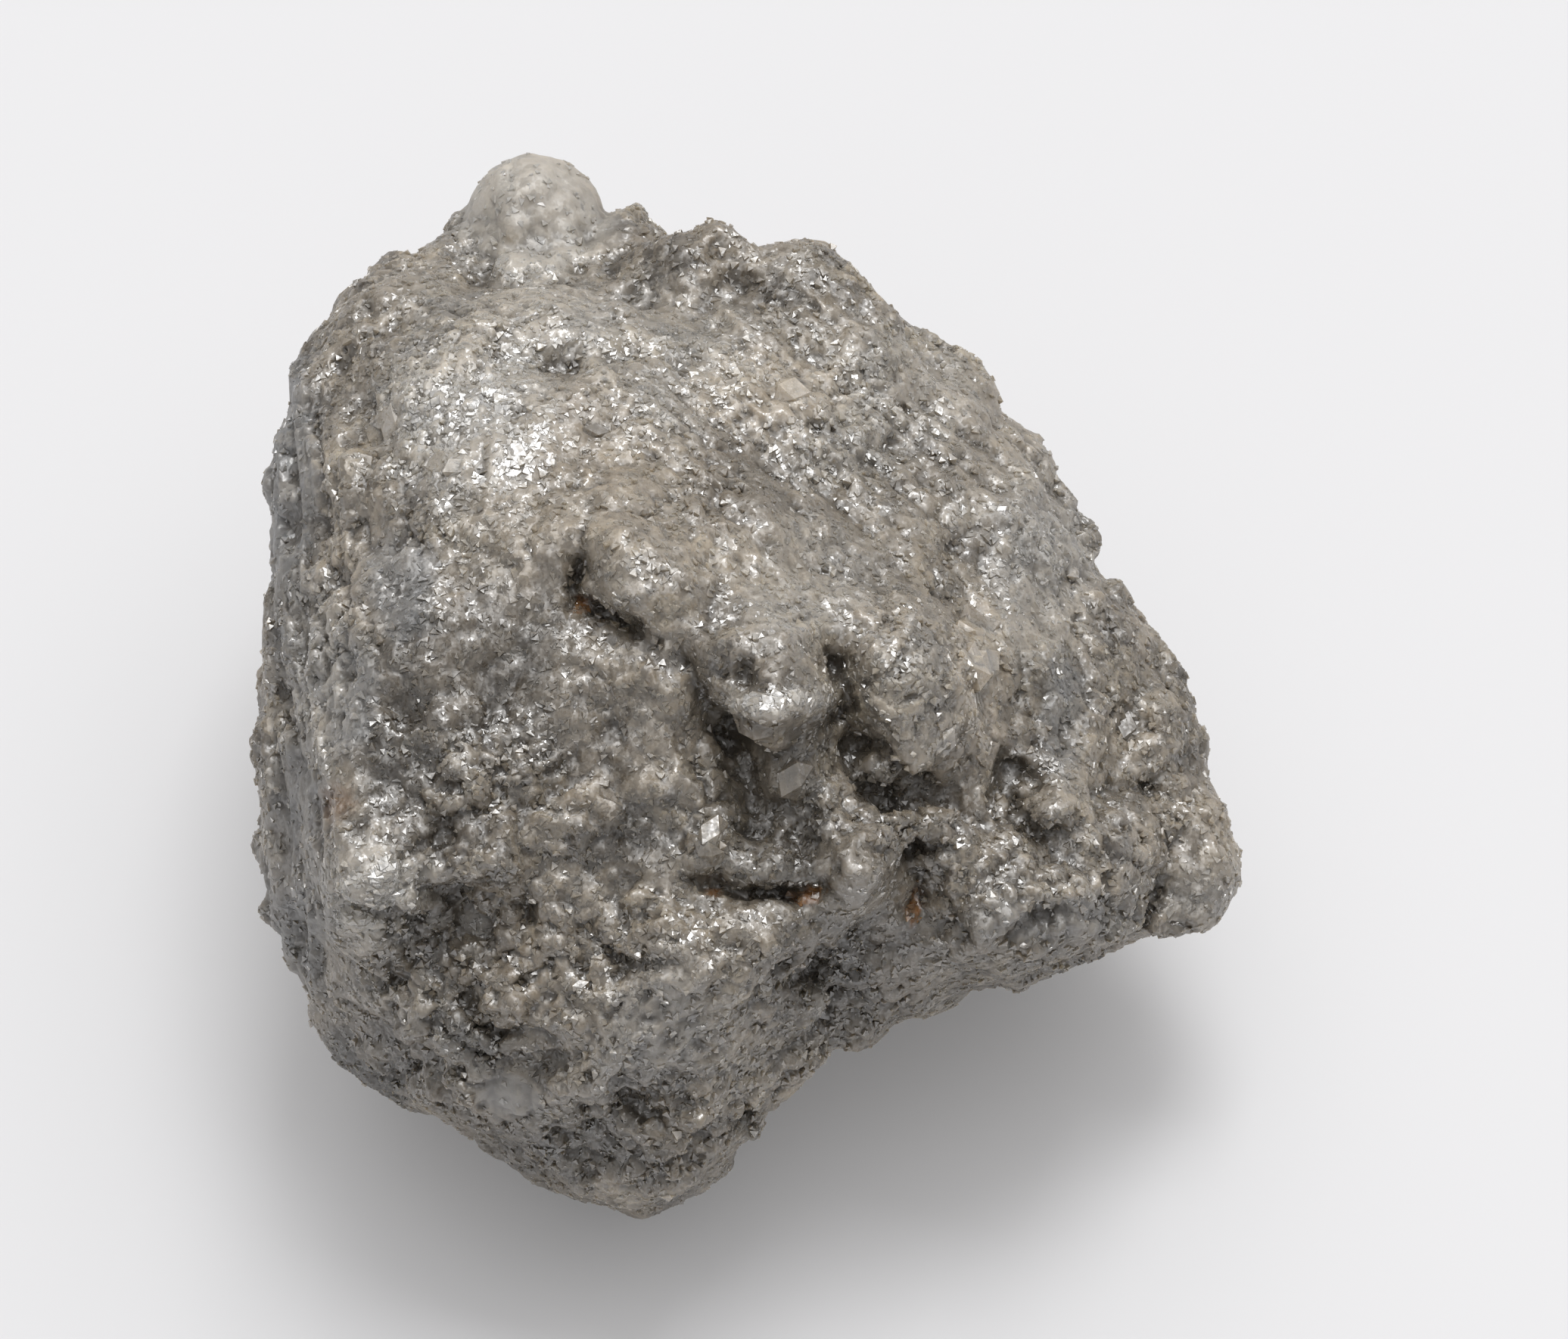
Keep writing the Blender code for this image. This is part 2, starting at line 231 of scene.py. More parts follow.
# %% [markdown]
# ## The outline and the nub
#
# Smoothing pulls corners in, so in a few places the outline is pushed back out to where the real stone
# has it. The nub on top is the one round form of the stone. Scaling a part of a mesh into a ball by hand
# is the tool To Sphere, and here each point of the nub moves most of the way to a sphere around the nub's
# middle.

# %% Push the outline out where the solid is a little lean
PUSHES = {  # right, up, half width, half height of the place, and the way right and up that it moves
    "beside the nub": (-1.45, 5.50, 0.60, 0.40, 0.0, 0.46),
    "upper left": (-5.30, 4.90, 1.00, 0.90, -0.22, 0.24),
    "left": (-6.50, 3.30, 0.50, 0.80, -0.34, 0.0),
    "lower left": (-6.60, -4.20, 0.40, 0.60, 0.16, 0.10),
    "right slope": (3.45, 2.35, 0.50, 0.70, 0.32, 0.10),
    "right shoulder": (4.30, 1.00, 0.50, 0.60, 0.08, 0.04),
    "right tip": (5.90, -2.30, 0.60, 0.60, 0.14, 0.0),
    "under the right": (4.20, -3.60, 1.30, 0.50, 0.06, -0.28),
}
for *place, right, up in PUSHES.values():
    points = read(skin.data, "vertices")
    write(points + oval(as_seen(points), *place, 0.8)[:, None] * (right * RIGHT + up * UP))
print("outline pushed in", len(PUSHES), "places")

# %% Round the nub into a ball
NUB = (-3.28, 5.90)  # right and up
NUB_RADIUS = 0.92
NUB_REACH = 1.35  # how far from the nub's middle points still move
NUB_FOOT = 5.15  # how far up the nub starts
points = read(skin.data, "vertices")
seen = as_seen(points)
inside = oval(seen, *NUB, 0.55, 0.55, 0.01) > 0
nub_middle = points[inside & ((points - HEART) @ UP > 5.2)].mean(axis=0)
from_middle = points - nub_middle
away = np.linalg.norm(from_middle, axis=1)
share = np.clip((NUB_REACH - away) / 0.25, 0, 1) * np.clip((seen[:, 1] - NUB_FOOT) / 0.8, 0, 1)
share *= np.clip((1.30 - np.hypot(*(seen - NUB).T)) / 0.2, 0, 1)
write(points + (0.85 * share * (NUB_RADIUS / away - 1))[:, None] * from_middle)
print("the nub's middle:", np.round(nub_middle, 2))


# %% [markdown]
# ## The shown side: lips, grooves, bumps and pits
#
# Broken boart has few round forms. It breaks in ledges: the edge of a block stands out, and the stone
# falls back under it. `lip` makes one along a route, with the raised block on the left hand of someone
# who walks along it. Places are first pushed about by a little noise, so that no edge runs straight.

# %% The shapes of a lip, a groove, a crest and striae


def away_from_line(places, route):
    """For each place its distance to a route, the side (1 on the left hand) and how far along it is."""
    route = np.array(route, float)
    lengths = np.linalg.norm(np.diff(route, axis=0), axis=1)
    starts = np.concatenate([[0], np.cumsum(lengths)])
    nearest = np.full(len(places), np.inf)
    side = np.ones(len(places))
    along = np.zeros(len(places))
    for number, (start, end) in enumerate(zip(route[:-1], route[1:])):
        step = end - start
        offset = places - start
        share = np.clip(offset @ step / (step @ step), 0, 1)
        away = np.linalg.norm(offset - share[:, None] * step, axis=1)
        closer = away < nearest
        nearest[closer] = away[closer]
        side[closer] = np.where(step[0] * offset[closer, 1] - step[1] * offset[closer, 0] > 0, 1, -1)
        along[closer] = (starts[number] + share[closer] * lengths[number]) / starts[-1]
    return nearest, side, along


def dome(away, radius):
    """A round hump: 1 at its middle and 0 at its radius."""
    return np.clip(1 - (away / radius) ** 2, 0, None) ** 2


def lip(places, route, rise, drop, above, below):
    """A raised edge: it stands out by rise over a width above it, and the stone falls back below it."""
    away, side, along = away_from_line(places, route)
    signed = away * side
    up = rise * np.clip(1 - signed / above, 0, 1) ** 1.5
    down = -drop * np.clip(1 + signed / below, 0, 1) ** 1.5
    edge = np.clip(0.5 + signed / 0.15, 0, 1)
    fade = np.clip(6 * np.minimum(along, 1 - along), 0, 1) * (away < max(above, below))
    ends = dome(np.where((along <= 0) | (along >= 1), away, 0), 0.5 * above)
    return (edge * up + (1 - edge) * down) * fade**0.7 * ends


def groove(places, route, half_width, depth):
    """A cut that is deepest on its route and shallower towards its ends."""
    away, _, along = away_from_line(places, route)
    fade = np.clip(8 * np.minimum(along, 1 - along) + 0.35, 0, 1)
    return -depth * fade * np.clip(1 - away / (1.6 * half_width), 0, 1) ** 1.2


def ridge(places, route, height, width):
    """A crest with a sharp top, where two flat sides meet."""
    away, _, along = away_from_line(places, route)
    fade = np.clip(5 * np.minimum(along, 1 - along) + 0.2, 0, 1)
    return height * fade * np.clip(1 - away / width, 0, 1) ** 1.3


def striae(places, right, up, half_width, half_height, degrees, spacing, depth):
    """Fine ridges side by side in an oval, running at so many degrees from level."""
    angle = math.radians(degrees)
    offset = places - (right, up)
    along = offset @ (math.cos(angle), math.sin(angle))
    across = offset @ (-math.sin(angle), math.cos(angle))
    stretched = np.column_stack([across / spacing, along / (9 * spacing), np.full(len(places), right)])
    window = oval(places, right, up, half_width, half_height, 0.4)
    heights = np.zeros(len(places))
    inside = window > 0
    heights[inside] = clouds(stretched[inside], 1.0, 2)
    return 0.6 * depth * window * heights


# %% [markdown]
# ## Where each form lies
#
# Each form has a name, the places it runs through, in millimetres right and up as the camera sees them,
# and its sizes in millimetres. Crests are where two flat sides of the stone meet. Striae are fine ridges
# side by side, the edges of the layers in which diamond grows. Grooves are the gaps between blocks, and
# the deepest ones let no light out, so they look black.

# %% Crests
RIDGES = {  # the route, height, width
    "lower crest": (
        ((-2.75, -6.20), (-2.30, -5.40), (-1.90, -4.90), (-1.50, -4.50), (-1.10, -4.15), (-0.75, -3.95)),
        0.24, 0.90,
    ),
    "lower left crest": (
        (
            (-6.10, -4.00), (-5.60, -4.38), (-5.20, -4.62), (-4.75, -4.85), (-4.45, -5.20),
            (-4.15, -5.72), (-3.70, -6.00),
        ),
        0.20, 0.80,
    ),
    "right crest": (
        ((1.75, -4.10), (2.45, -3.78), (2.90, -3.42), (3.40, -3.12), (4.00, -3.05), (4.55, -2.98)),
        0.18, 0.70,
    ),
    "flank edge": (
        (
            (-5.95, 3.70), (-5.80, 2.50), (-5.65, 1.20), (-5.70, 0.00), (-5.85, -1.20), (-6.00, -2.40),
            (-6.05, -3.30), (-5.85, -4.10),
        ),
        0.14, 0.50,
    ),
    "brow": (((-5.60, 1.60), (-4.60, 1.90), (-3.60, 1.70), (-2.90, 1.30)), 0.14, 0.80),
    "right brow": (((0.90, 0.60), (1.50, 0.90), (2.20, 0.85)), 0.10, 0.60),
    "down the middle": (((0.20, -1.20), (0.60, -1.90), (0.90, -2.60), (1.20, -3.40)), 0.16, 0.60),
    "left block": (
        ((-4.90, -0.60), (-4.50, -1.00), (-3.90, -1.10), (-3.20, -0.90), (-2.60, -0.60)),
        0.14, 0.60,
    ),
}
print(len(RIDGES), "crests")

# %% Striated places
STRIATED = {  # right, up, half width, half height, degrees, spacing, depth
    "upper slope": (1.30, 3.60, 2.60, 1.60, -40, 0.16, 0.10),
    "sparkling zone": (-4.20, 3.40, 0.90, 0.90, 84, 0.12, 0.09),
    "flank": (-6.35, 1.50, 0.50, 2.20, 92, 0.15, 0.20),
    "flank foot": (-6.45, -2.50, 0.50, 1.60, 97, 0.15, 0.18),
    "lobe": (1.85, 0.15, 0.70, 0.60, 55, 0.11, 0.10),
    "under the lobe": (1.35, -0.35, 0.45, 0.35, 15, 0.11, 0.10),
    "lamellae": (-3.30, -1.40, 0.45, 0.32, 2, 0.09, 0.12),
    "right slope": (3.50, 0.90, 0.80, 1.20, -62, 0.15, 0.09),
    "lower lobe": (-2.00, -4.95, 0.70, 0.70, 52, 0.13, 0.08),
    "bright lump": (-5.50, -2.90, 0.50, 0.40, 20, 0.11, 0.09),
    "knob": (-0.20, 0.55, 0.60, 0.40, 20, 0.12, 0.09),
}
print(len(STRIATED), "striated places")

# %% Lips
LIPS = {  # the route, rise, drop, width above, width below
    "knob": (
        (
            (-1.08, -0.10), (-0.98, -0.32), (-0.75, -0.52), (-0.40, -0.66), (0.00, -0.68), (0.35, -0.62),
            (0.62, -0.48), (0.80, -0.22),
        ),
        0.40, 0.20, 0.50, 0.45,
    ),
    "right lobe": (
        (
            (0.86, -0.55), (1.02, -0.82), (1.25, -0.98), (1.45, -1.10), (1.62, -1.32), (1.90, -1.42),
            (2.30, -1.42), (2.62, -1.36),
        ),
        0.10, 0.06, 0.90, 0.30,
    ),
    "over the cleft": (
        ((-2.70, 1.15), (-2.45, 0.95), (-2.20, 0.80), (-2.00, 0.68), (-1.75, 0.58)),
        0.20, 0.24, 0.60, 0.16,
    ),
    "beside the cleft": (((-1.72, 0.80), (-1.45, 0.74), (-1.20, 0.70)), 0.12, 0.16, 0.30, 0.16),
    "over the level cleft": (
        ((-1.45, -2.62), (-1.10, -2.66), (-0.60, -2.84), (-0.10, -2.82), (0.50, -2.86)),
        0.20, 0.14, 0.45, 0.14,
    ),
    "grey block": (((-0.80, -2.02), (-0.40, -2.06), (-0.02, -2.14), (0.12, -2.30)), 0.12, 0.10, 0.35, 0.25),
    "bright lump": (
        ((-6.00, -2.92), (-5.65, -3.02), (-5.30, -3.05), (-5.00, -3.25), (-4.70, -3.38)),
        0.22, 0.22, 0.60, 0.35,
    ),
    "second lump": (
        ((-5.95, -3.75), (-5.50, -3.85), (-5.15, -3.75), (-4.90, -3.60)),
        0.14, 0.14, 0.45, 0.30,
    ),
    "tongue": (
        ((-4.85, -2.55), (-4.55, -2.78), (-4.15, -2.78), (-3.85, -2.62), (-3.55, -2.75)),
        0.20, 0.22, 0.45, 0.30,
    ),
    "pink lump": (
        ((-4.85, -1.50), (-4.60, -1.85), (-4.25, -1.90), (-3.95, -1.70), (-3.85, -1.30)),
        0.18, 0.16, 0.60, 0.25,
    ),
    "lamellar block": (((-3.80, -1.75), (-3.30, -1.80), (-2.85, -1.72)), 0.10, 0.10, 0.45, 0.20),
    "lower left crest": (
        (
            (-6.25, -4.10), (-5.60, -4.38), (-5.20, -4.62), (-4.75, -4.85), (-4.45, -5.20),
            (-4.15, -5.72), (-3.70, -6.00), (-3.20, -6.10), (-2.75, -6.05),
        ),
        0.16, 0.24, 0.60, 0.60,
    ),
    "lower crest": (
        (
            (-2.75, -6.00), (-2.45, -5.65), (-2.20, -5.28), (-1.90, -4.90), (-1.50, -4.50),
            (-1.10, -4.15), (-0.75, -3.95),
        ),
        0.14, 0.16, 0.50, 0.50,
    ),
    "right crest": (
        (
            (1.75, -4.10), (2.45, -3.78), (2.90, -3.42), (3.40, -3.12), (4.00, -3.05), (4.55, -2.98),
            (4.90, -2.85),
        ),
        0.14, 0.20, 0.60, 0.50,
    ),
    "right knob": (
        ((3.15, -1.60), (3.22, -1.92), (3.45, -2.05), (3.75, -2.00), (3.98, -1.80)),
        0.20, 0.16, 0.50, 0.30,
    ),
    "over the right knob": (
        ((2.95, -1.22), (3.30, -1.28), (3.65, -1.24), (3.90, -1.20)),
        0.12, 0.14, 0.40, 0.18,
    ),
    "corner boss": (((4.20, -2.80), (4.55, -2.75), (4.82, -2.55), (4.88, -2.20)), 0.14, 0.14, 0.60, 0.25),
    "right lump": (((4.02, -0.62), (4.25, -0.76), (4.48, -0.66)), 0.12, 0.12, 0.35, 0.18),
    "right edge": (((4.55, -1.48), (4.85, -1.42), (5.15, -1.12), (5.45, -1.02)), 0.12, 0.12, 0.45, 0.25),
    "hood": (((-0.35, -1.62), (-0.05, -1.68), (0.30, -1.66), (0.60, -1.55)), 0.10, 0.08, 0.30, 0.25),
    "lobe shelf": (
        ((-3.10, -4.45), (-2.85, -4.35), (-2.45, -4.40), (-2.10, -4.55)),
        0.12, 0.12, 0.45, 0.22,
    ),
    "lobe shelf two": (
        ((-4.10, -5.00), (-3.70, -5.10), (-3.20, -5.25), (-2.95, -5.22)),
        0.10, 0.12, 0.40, 0.22,
    ),
    "under the middle": (((-2.10, -3.05), (-1.75, -3.20), (-1.45, -3.10)), 0.12, 0.12, 0.40, 0.20),
    "rim": (((-6.20, 3.95), (-5.85, 4.25), (-5.45, 4.55), (-4.95, 4.75)), 0.08, 0.08, 0.40, 0.30),
}
print(len(LIPS), "lips")

# %% Grooves, from hairlines to clefts
GROOVES = {  # the route, half width, depth
    "hairline": (((-2.80, 2.70), (-2.70, 2.30), (-2.60, 1.95), (-2.75, 1.62)), 0.05, 0.10),
    "hole": (((-2.70, 1.50), (-2.72, 1.25), (-2.80, 1.05)), 0.10, 0.65),
    "main cleft": (
        ((-2.85, 1.00), (-2.55, 0.84), (-2.25, 0.68), (-1.95, 0.52), (-1.80, 0.45)),
        0.075, 0.48,
    ),
    "cleft tail": (
        ((-1.80, 0.48), (-1.45, 0.35), (-1.28, 0.12), (-1.15, -0.10), (-1.12, -0.40)),
        0.10, 0.20,
    ),
    "crevice": (((-0.85, 1.15), (-0.92, 0.90), (-1.00, 0.60), (-1.05, 0.45)), 0.09, 0.20),
    "knob gap": (((0.55, 0.12), (0.70, 0.05), (0.80, -0.20), (0.85, -0.45), (0.72, -0.70)), 0.10, 0.34),
    "knob pocket": (
        ((0.50, -0.72), (0.72, -0.72), (0.98, -0.72), (1.15, -0.92), (1.42, -1.12)),
        0.06, 0.12,
    ),
    "boss pocket": (((1.35, -1.20), (1.60, -1.42), (1.85, -1.50)), 0.07, 0.12),
    "left of the knob": (((-1.05, -0.15), (-1.08, -0.40), (-0.95, -0.52)), 0.08, 0.18),
    "under the knob": (
        ((-1.05, -0.75), (-0.80, -0.90), (-0.62, -1.02), (-0.48, -1.30), (-0.42, -1.85)),
        0.08, 0.14,
    ),
    "left of the block": (((-1.50, -2.05), (-1.40, -2.25), (-1.25, -2.40)), 0.10, 0.18),
    "level cleft": (
        ((-0.95, -2.82), (-0.60, -2.96), (-0.15, -2.90), (0.15, -3.02), (0.50, -2.94)),
        0.065, 0.46,
    ),
    "left end of the cleft": (((-1.34, -2.80), (-1.15, -2.74), (-0.95, -2.82)), 0.12, 0.30),
    "right hole": (((1.62, -2.62), (1.78, -2.80), (1.84, -3.02), (1.80, -3.15)), 0.07, 0.22),
    "over the right hole": (((1.48, -2.35), (1.75, -2.45), (1.82, -2.65)), 0.08, 0.06),
    "slit": (((2.45, -1.58), (2.55, -1.80), (2.72, -2.02)), 0.08, 0.18),
    "right groove": (((3.02, -1.42), (3.08, -1.70), (3.10, -1.95)), 0.07, 0.20),
    "right pocket": (((3.08, -1.92), (3.18, -2.15), (3.40, -2.32)), 0.10, 0.26),
    "boss edge": (((3.45, -2.38), (3.62, -2.52), (3.72, -2.70)), 0.06, 0.10),
    "corner groove": (((4.00, -1.72), (4.30, -1.62), (4.60, -1.56), (4.90, -1.52)), 0.08, 0.14),
    "lobe groove": (
        ((4.98, -2.00), (5.02, -2.40), (5.00, -2.80), (4.85, -3.10), (4.62, -3.38)),
        0.09, 0.18,
    ),
    "left groove": (((-4.85, -2.38), (-4.60, -2.30), (-4.30, -2.10)), 0.10, 0.22),
    "lobe cleft": (
        ((-5.20, -3.10), (-4.90, -3.28), (-4.55, -3.45), (-4.25, -3.75), (-3.95, -3.95)),
        0.12, 0.22,
    ),
    "diagonal crack": (((-3.00, -1.05), (-2.85, -1.28), (-2.68, -1.48)), 0.07, 0.16),
    "over the lamellae": (((-3.75, -1.00), (-3.45, -1.02), (-3.15, -0.98)), 0.07, 0.14),
    "dark corner": (((-2.15, -2.15), (-2.35, -2.40), (-2.20, -2.55)), 0.14, 0.18),
    "notch groove": (((0.30, -3.92), (0.55, -3.95), (0.85, -3.98), (1.15, -4.12)), 0.12, 0.24),
    "under the notch": (((-0.30, -3.85), (-0.22, -4.00), (0.10, -4.20)), 0.10, 0.16),
    "belly": (((0.95, -3.35), (1.15, -3.55), (1.30, -3.80)), 0.20, 0.20),
    "beige crack": (((2.30, 0.82), (2.32, 0.62), (2.36, 0.40)), 0.05, 0.10),
    "slope streak": (((-0.35, 4.95), (0.05, 4.70), (0.45, 4.40)), 0.06, 0.10),
    "slope streak two": (((1.20, 2.70), (1.60, 2.30), (2.00, 1.95)), 0.06, 0.10),
}
print(len(GROOVES), "grooves")

# %% Bumps and pits
BUMPS = {  # right, up, radius, height
    "neck left": (-3.75, 5.25, 0.36, 0.16),
    "neck middle": (-3.10, 5.30, 0.30, 0.16),
    "neck right": (-2.50, 5.35, 0.36, 0.18),
    "beside the nub": (-4.00, 5.20, 0.40, -0.24),
    "pit right of the nub": (-2.25, 5.22, 0.22, -0.16),
    "pit under the nub": (-2.90, 5.38, 0.16, -0.06),
    "rim one": (-4.60, 5.50, 0.55, 0.16),
    "rim two": (-5.40, 5.12, 0.45, 0.14),
    "rim three": (-5.85, 4.72, 0.42, 0.12),
    "rim four": (-5.65, 4.35, 0.34, 0.10),
    "pit upper left": (-5.90, 4.05, 0.20, -0.14),
    "pit above the sparkle": (-4.35, 4.35, 0.18, -0.10),
    "under the nub": (-3.30, 4.70, 0.95, 0.14),
    "beside it": (-2.40, 4.70, 0.70, 0.10),
    "sparkling bulge": (-4.20, 3.45, 1.60, 0.16),
    "dark dip": (-0.60, 2.50, 0.70, -0.10),
    "pit one": (-1.75, 2.75, 0.14, -0.12),
    "pit two": (-3.50, 1.40, 0.14, -0.14),
    "pit three": (-0.20, 1.60, 0.20, -0.12),
    "over the hole": (-1.90, 1.30, 0.80, 0.14),
    "knob brow": (-0.15, 0.55, 0.90, 0.22),
    "knob hollow": (-0.50, -0.12, 0.30, -0.20),
    "knob hollow two": (0.15, -0.12, 0.22, -0.08),
    "knob recess": (-0.87, 0.03, 0.15, -0.18),
    "right lobe": (1.60, 0.00, 1.20, 0.30),
    "right lobe foot": (1.70, -0.75, 0.80, 0.08),
    "under the lobe edge": (1.65, -1.42, 0.60, 0.30),
    "between the knob and the lobe": (1.15, -1.35, 0.42, 0.34),
    "over the right hole": (1.72, -2.65, 0.38, 0.20),
    "pebble": (0.00, -1.50, 0.45, 0.22),
    "hollow": (0.35, -2.32, 0.42, -0.30),
    "block": (-1.02, -2.28, 0.36, 0.26),
    "grey block": (-0.38, -2.45, 0.50, 0.20),
    "under the pebble": (0.75, -1.75, 0.40, 0.18),
    "below the lobe": (1.30, -1.98, 0.45, 0.20),
    "right of the cleft": (0.95, -2.70, 0.45, 0.20),
    "under the cleft": (-0.20, -3.30, 0.60, 0.16),
    "left of the channel": (-1.10, -1.30, 0.55, 0.20),
    "far left of it": (-1.75, -0.70, 0.60, 0.16),
    "notch block": (0.50, -4.42, 0.30, 0.16),
    "notch pit": (0.18, -4.35, 0.18, -0.18),
    "lump under the notch": (-0.90, -5.10, 1.00, 0.12),
    "right dark pocket": (3.10, -1.42, 0.24, -0.16),
    "right knob": (3.60, -1.55, 0.50, 0.12),
    "corner boss": (4.40, -2.20, 0.65, 0.16),
    "corner lobe": (5.50, -2.45, 0.70, 0.14),
    "brown recess": (4.62, -0.75, 0.32, -0.16),
    "right lump": (4.25, -0.50, 0.34, 0.12),
    "flank recess": (-6.35, -1.35, 0.34, -0.14),
    "flank pit": (-6.22, -3.62, 0.11, -0.14),
    "flank pit two": (-6.40, -2.60, 0.18, -0.08),
    "brown flank recess": (-5.90, -1.75, 0.28, -0.16),
    "pink lump": (-4.35, -1.35, 0.60, 0.12),
    "beige crystal": (-2.50, -1.65, 0.28, 0.12),
    "bright lump": (-5.60, -2.60, 0.55, 0.14),
    "under the tongue": (-4.42, -2.92, 0.28, -0.24),
    "lobe pit one": (-2.85, -4.25, 0.15, -0.16),
    "lobe pit two": (-3.02, -5.20, 0.18, -0.14),
    "lobe pit three": (-1.10, -4.98, 0.20, -0.16),
    "lobe pit four": (-1.85, -5.75, 0.26, -0.10),
    "band pit one": (-5.75, -4.85, 0.28, -0.20),
    "band pit two": (-5.05, -5.35, 0.24, -0.18),
    "band pit three": (-4.70, -5.20, 0.34, -0.14),
    "band pit four": (-3.65, -6.12, 0.30, -0.18),
    "right pit one": (3.35, -3.20, 0.20, -0.12),
    "right pit two": (3.80, -3.65, 0.24, -0.14),
    "right pit three": (4.30, -2.92, 0.16, -0.10),
    "right pit four": (3.20, -3.90, 0.26, -0.12),
}
print(len(BUMPS), "bumps and pits")

# %% [markdown]
# ## Sculpt the forms
#
# All forms are added up into one height for each point of the skin, and the points move towards the
# camera by it. A noise makes each form higher here and lower there. Steep walls stretch the net, so it is
# laid anew and finer afterwards, ready for the crystals.

# %% Sculpt them, towards the camera


def pushed_about(points, pushes):
    """Where points are seen, moved about by noise, so that no drawn edge runs straight."""
    pushed = as_seen(points)
    for size, push in pushes:
        pushed += push * np.column_stack([clouds(points, size), clouds(points + 50, size)])
    return pushed


MOST_RISE = 0.5  # where forms pile up they level off, because boart has no tall spikes
MORE_CREST, MORE_RISE, MORE_DROP = 1.3, 1.4, 1.3  # for what the smoothing afterwards takes off again


def forms(points):
    """How far the crests, lips and bumps stand out, and how deep the grooves cut."""
    pushed = pushed_about(points, ((0.45, 0.10), (0.16, 0.07)))
    heights = np.zeros(len(points))
    for route, height, width in RIDGES.values():
        heights += ridge(pushed, route, MORE_CREST * height, width)
    for route, rise, drop, above, below in LIPS.values():
        heights += lip(pushed, route, MORE_RISE * rise, MORE_DROP * drop, above, below)
    for right, up, radius, height in BUMPS.values():
        heights += height * dome(np.hypot(pushed[:, 0] - right, pushed[:, 1] - up), radius)
    cuts = np.zeros(len(points))
    for route, half_width, depth in GROOVES.values():
        cuts = np.minimum(cuts, groove(pushed, route, half_width, depth))
    uneven = np.clip(0.75 + 0.6 * clouds(points, 0.5, 2), 0.2, 1.2)
    heights *= 0.55 + 0.55 * uneven
    return MOST_RISE * np.tanh(heights / MOST_RISE), cuts * uneven


points = read(skin.data, "vertices")
facing = np.clip(3 * read(skin.data, "vertex_normals") @ NEAR, 0, 1)
heights, cuts = forms(points)
write(points + ((heights + cuts) * facing)[:, None] * NEAR)
modify(skin, "REMESH", mode="VOXEL", voxel_size=FINE)
modify(skin, "SMOOTH", factor=0.5, iterations=6)
highest, deepest = float(heights.max()), float(-cuts.min())
print("forms stand out by", round(highest, 2), "and cut in by", round(deepest, 2), "mm")

# %% [markdown]
# ## Lumps and crystals all over
#
# Boart breaks into rounded lumps with creases between them, and each lump is a cluster of crystals. Both
# are cell patterns: a Voronoi pattern scatters middles, and each point of the skin belongs to the
# nearest. A lump is high at its middle and low where two cells meet. A crystal is a polyhedron, so it is
# the space under a few planes around its middle, and where neighbours overlap the higher one shows.

# %% Lumps and crystals as heights


def lumps(points, size):
    """1 at the middle of a lump, 0 in the crease where two meet."""
    away, _ = cells(points, size)
    return np.sqrt(np.clip(away[:, 1] - away[:, 0], 0, 0.5) / 0.5)


def crystals(points, size, faces=5):
    """Height, in crystal sizes, of crystals that are each bounded by a few tilted planes."""
    _, middles = cells(points, size)
    offset = points[:, None] / size - middles
    reach = np.full(offset.shape[:2], -9.0)
    for face in range(faces):
        direction = np.stack([draw(middles, 3 * face + axis) - 0.5 for axis in range(3)], axis=-1)
        direction /= np.linalg.norm(direction, axis=-1, keepdims=True)
        reach = np.maximum(reach, (offset * direction).sum(axis=-1))
    reach = np.maximum(reach, 0.55 * np.linalg.norm(offset, axis=-1))
    return (0.35 * draw(middles, 20) - reach).max(axis=1)


# %% [markdown]
# ## Smooth and rugged places
#
# No natural surface is equally rough all over. The nub and a few facets grew smooth, the lower lobe is
# the most broken, and in between the roughness drifts from patch to patch. The skin that turns away from
# the camera at the stone's edge is kept calmer, because a crystal there would show as a spike against the
# floor.

# %% Where the stone is smooth or rugged
SMOOTH = {  # right, up, width, height of an oval, and how smooth
    "nub": (-3.30, 6.20, 0.85, 0.70, 0.55),
    "shoulder": (-2.50, 5.85, 0.35, 0.30, 0.5),
    "flank": (-6.60, 2.60, 0.35, 1.20, 0.3),
    "flank middle": (-6.45, -0.20, 0.45, 1.40, 0.1),
    "flank foot": (-6.45, -2.70, 0.40, 1.50, 0.3),
    "slope": (3.40, 2.20, 1.30, 2.40, 0.12),
    "crest": (-1.60, -4.60, 0.40, 0.60, 0.2),
    "painted_sheen": (-3.60, -5.65, 0.35, 0.25, 0.6),
    "knob": (-0.20, -0.85, 0.40, 0.20, 0.3),
    "right foot": (3.60, -3.35, 0.90, 0.25, 0.25),
}
RUGGED = {  # the same, and how much rougher than the rest
    "lower lobe": (-2.20, -5.60, 1.60, 0.90, 0.9),
    "lower left band": (-4.60, -5.20, 1.00, 0.50, 0.9),
    "notch": (0.60, -4.40, 0.90, 0.80, 0.9),
    "right foot": (3.40, -3.60, 1.60, 0.50, 0.7),
    "lobe face": (-3.40, -4.10, 1.60, 0.90, 0.7),
    "middle": (-2.60, -2.60, 1.50, 1.00, 0.4),
    "under the knob": (-0.10, -1.90, 1.20, 0.90, 0.7),
    "right": (3.20, -2.20, 1.40, 0.70, 0.4),
    "left": (-4.40, -1.60, 1.20, 1.20, 0.4),
    "flank": (-6.40, -0.40, 0.60, 3.00, 0.5),
}


def turned_away(mesh):
    """1 along the stone's edge, where the skin turns from the camera, and falling to 0 on either side."""
    return np.exp(-((read(mesh, "vertex_normals") @ NEAR / 0.3) ** 2))


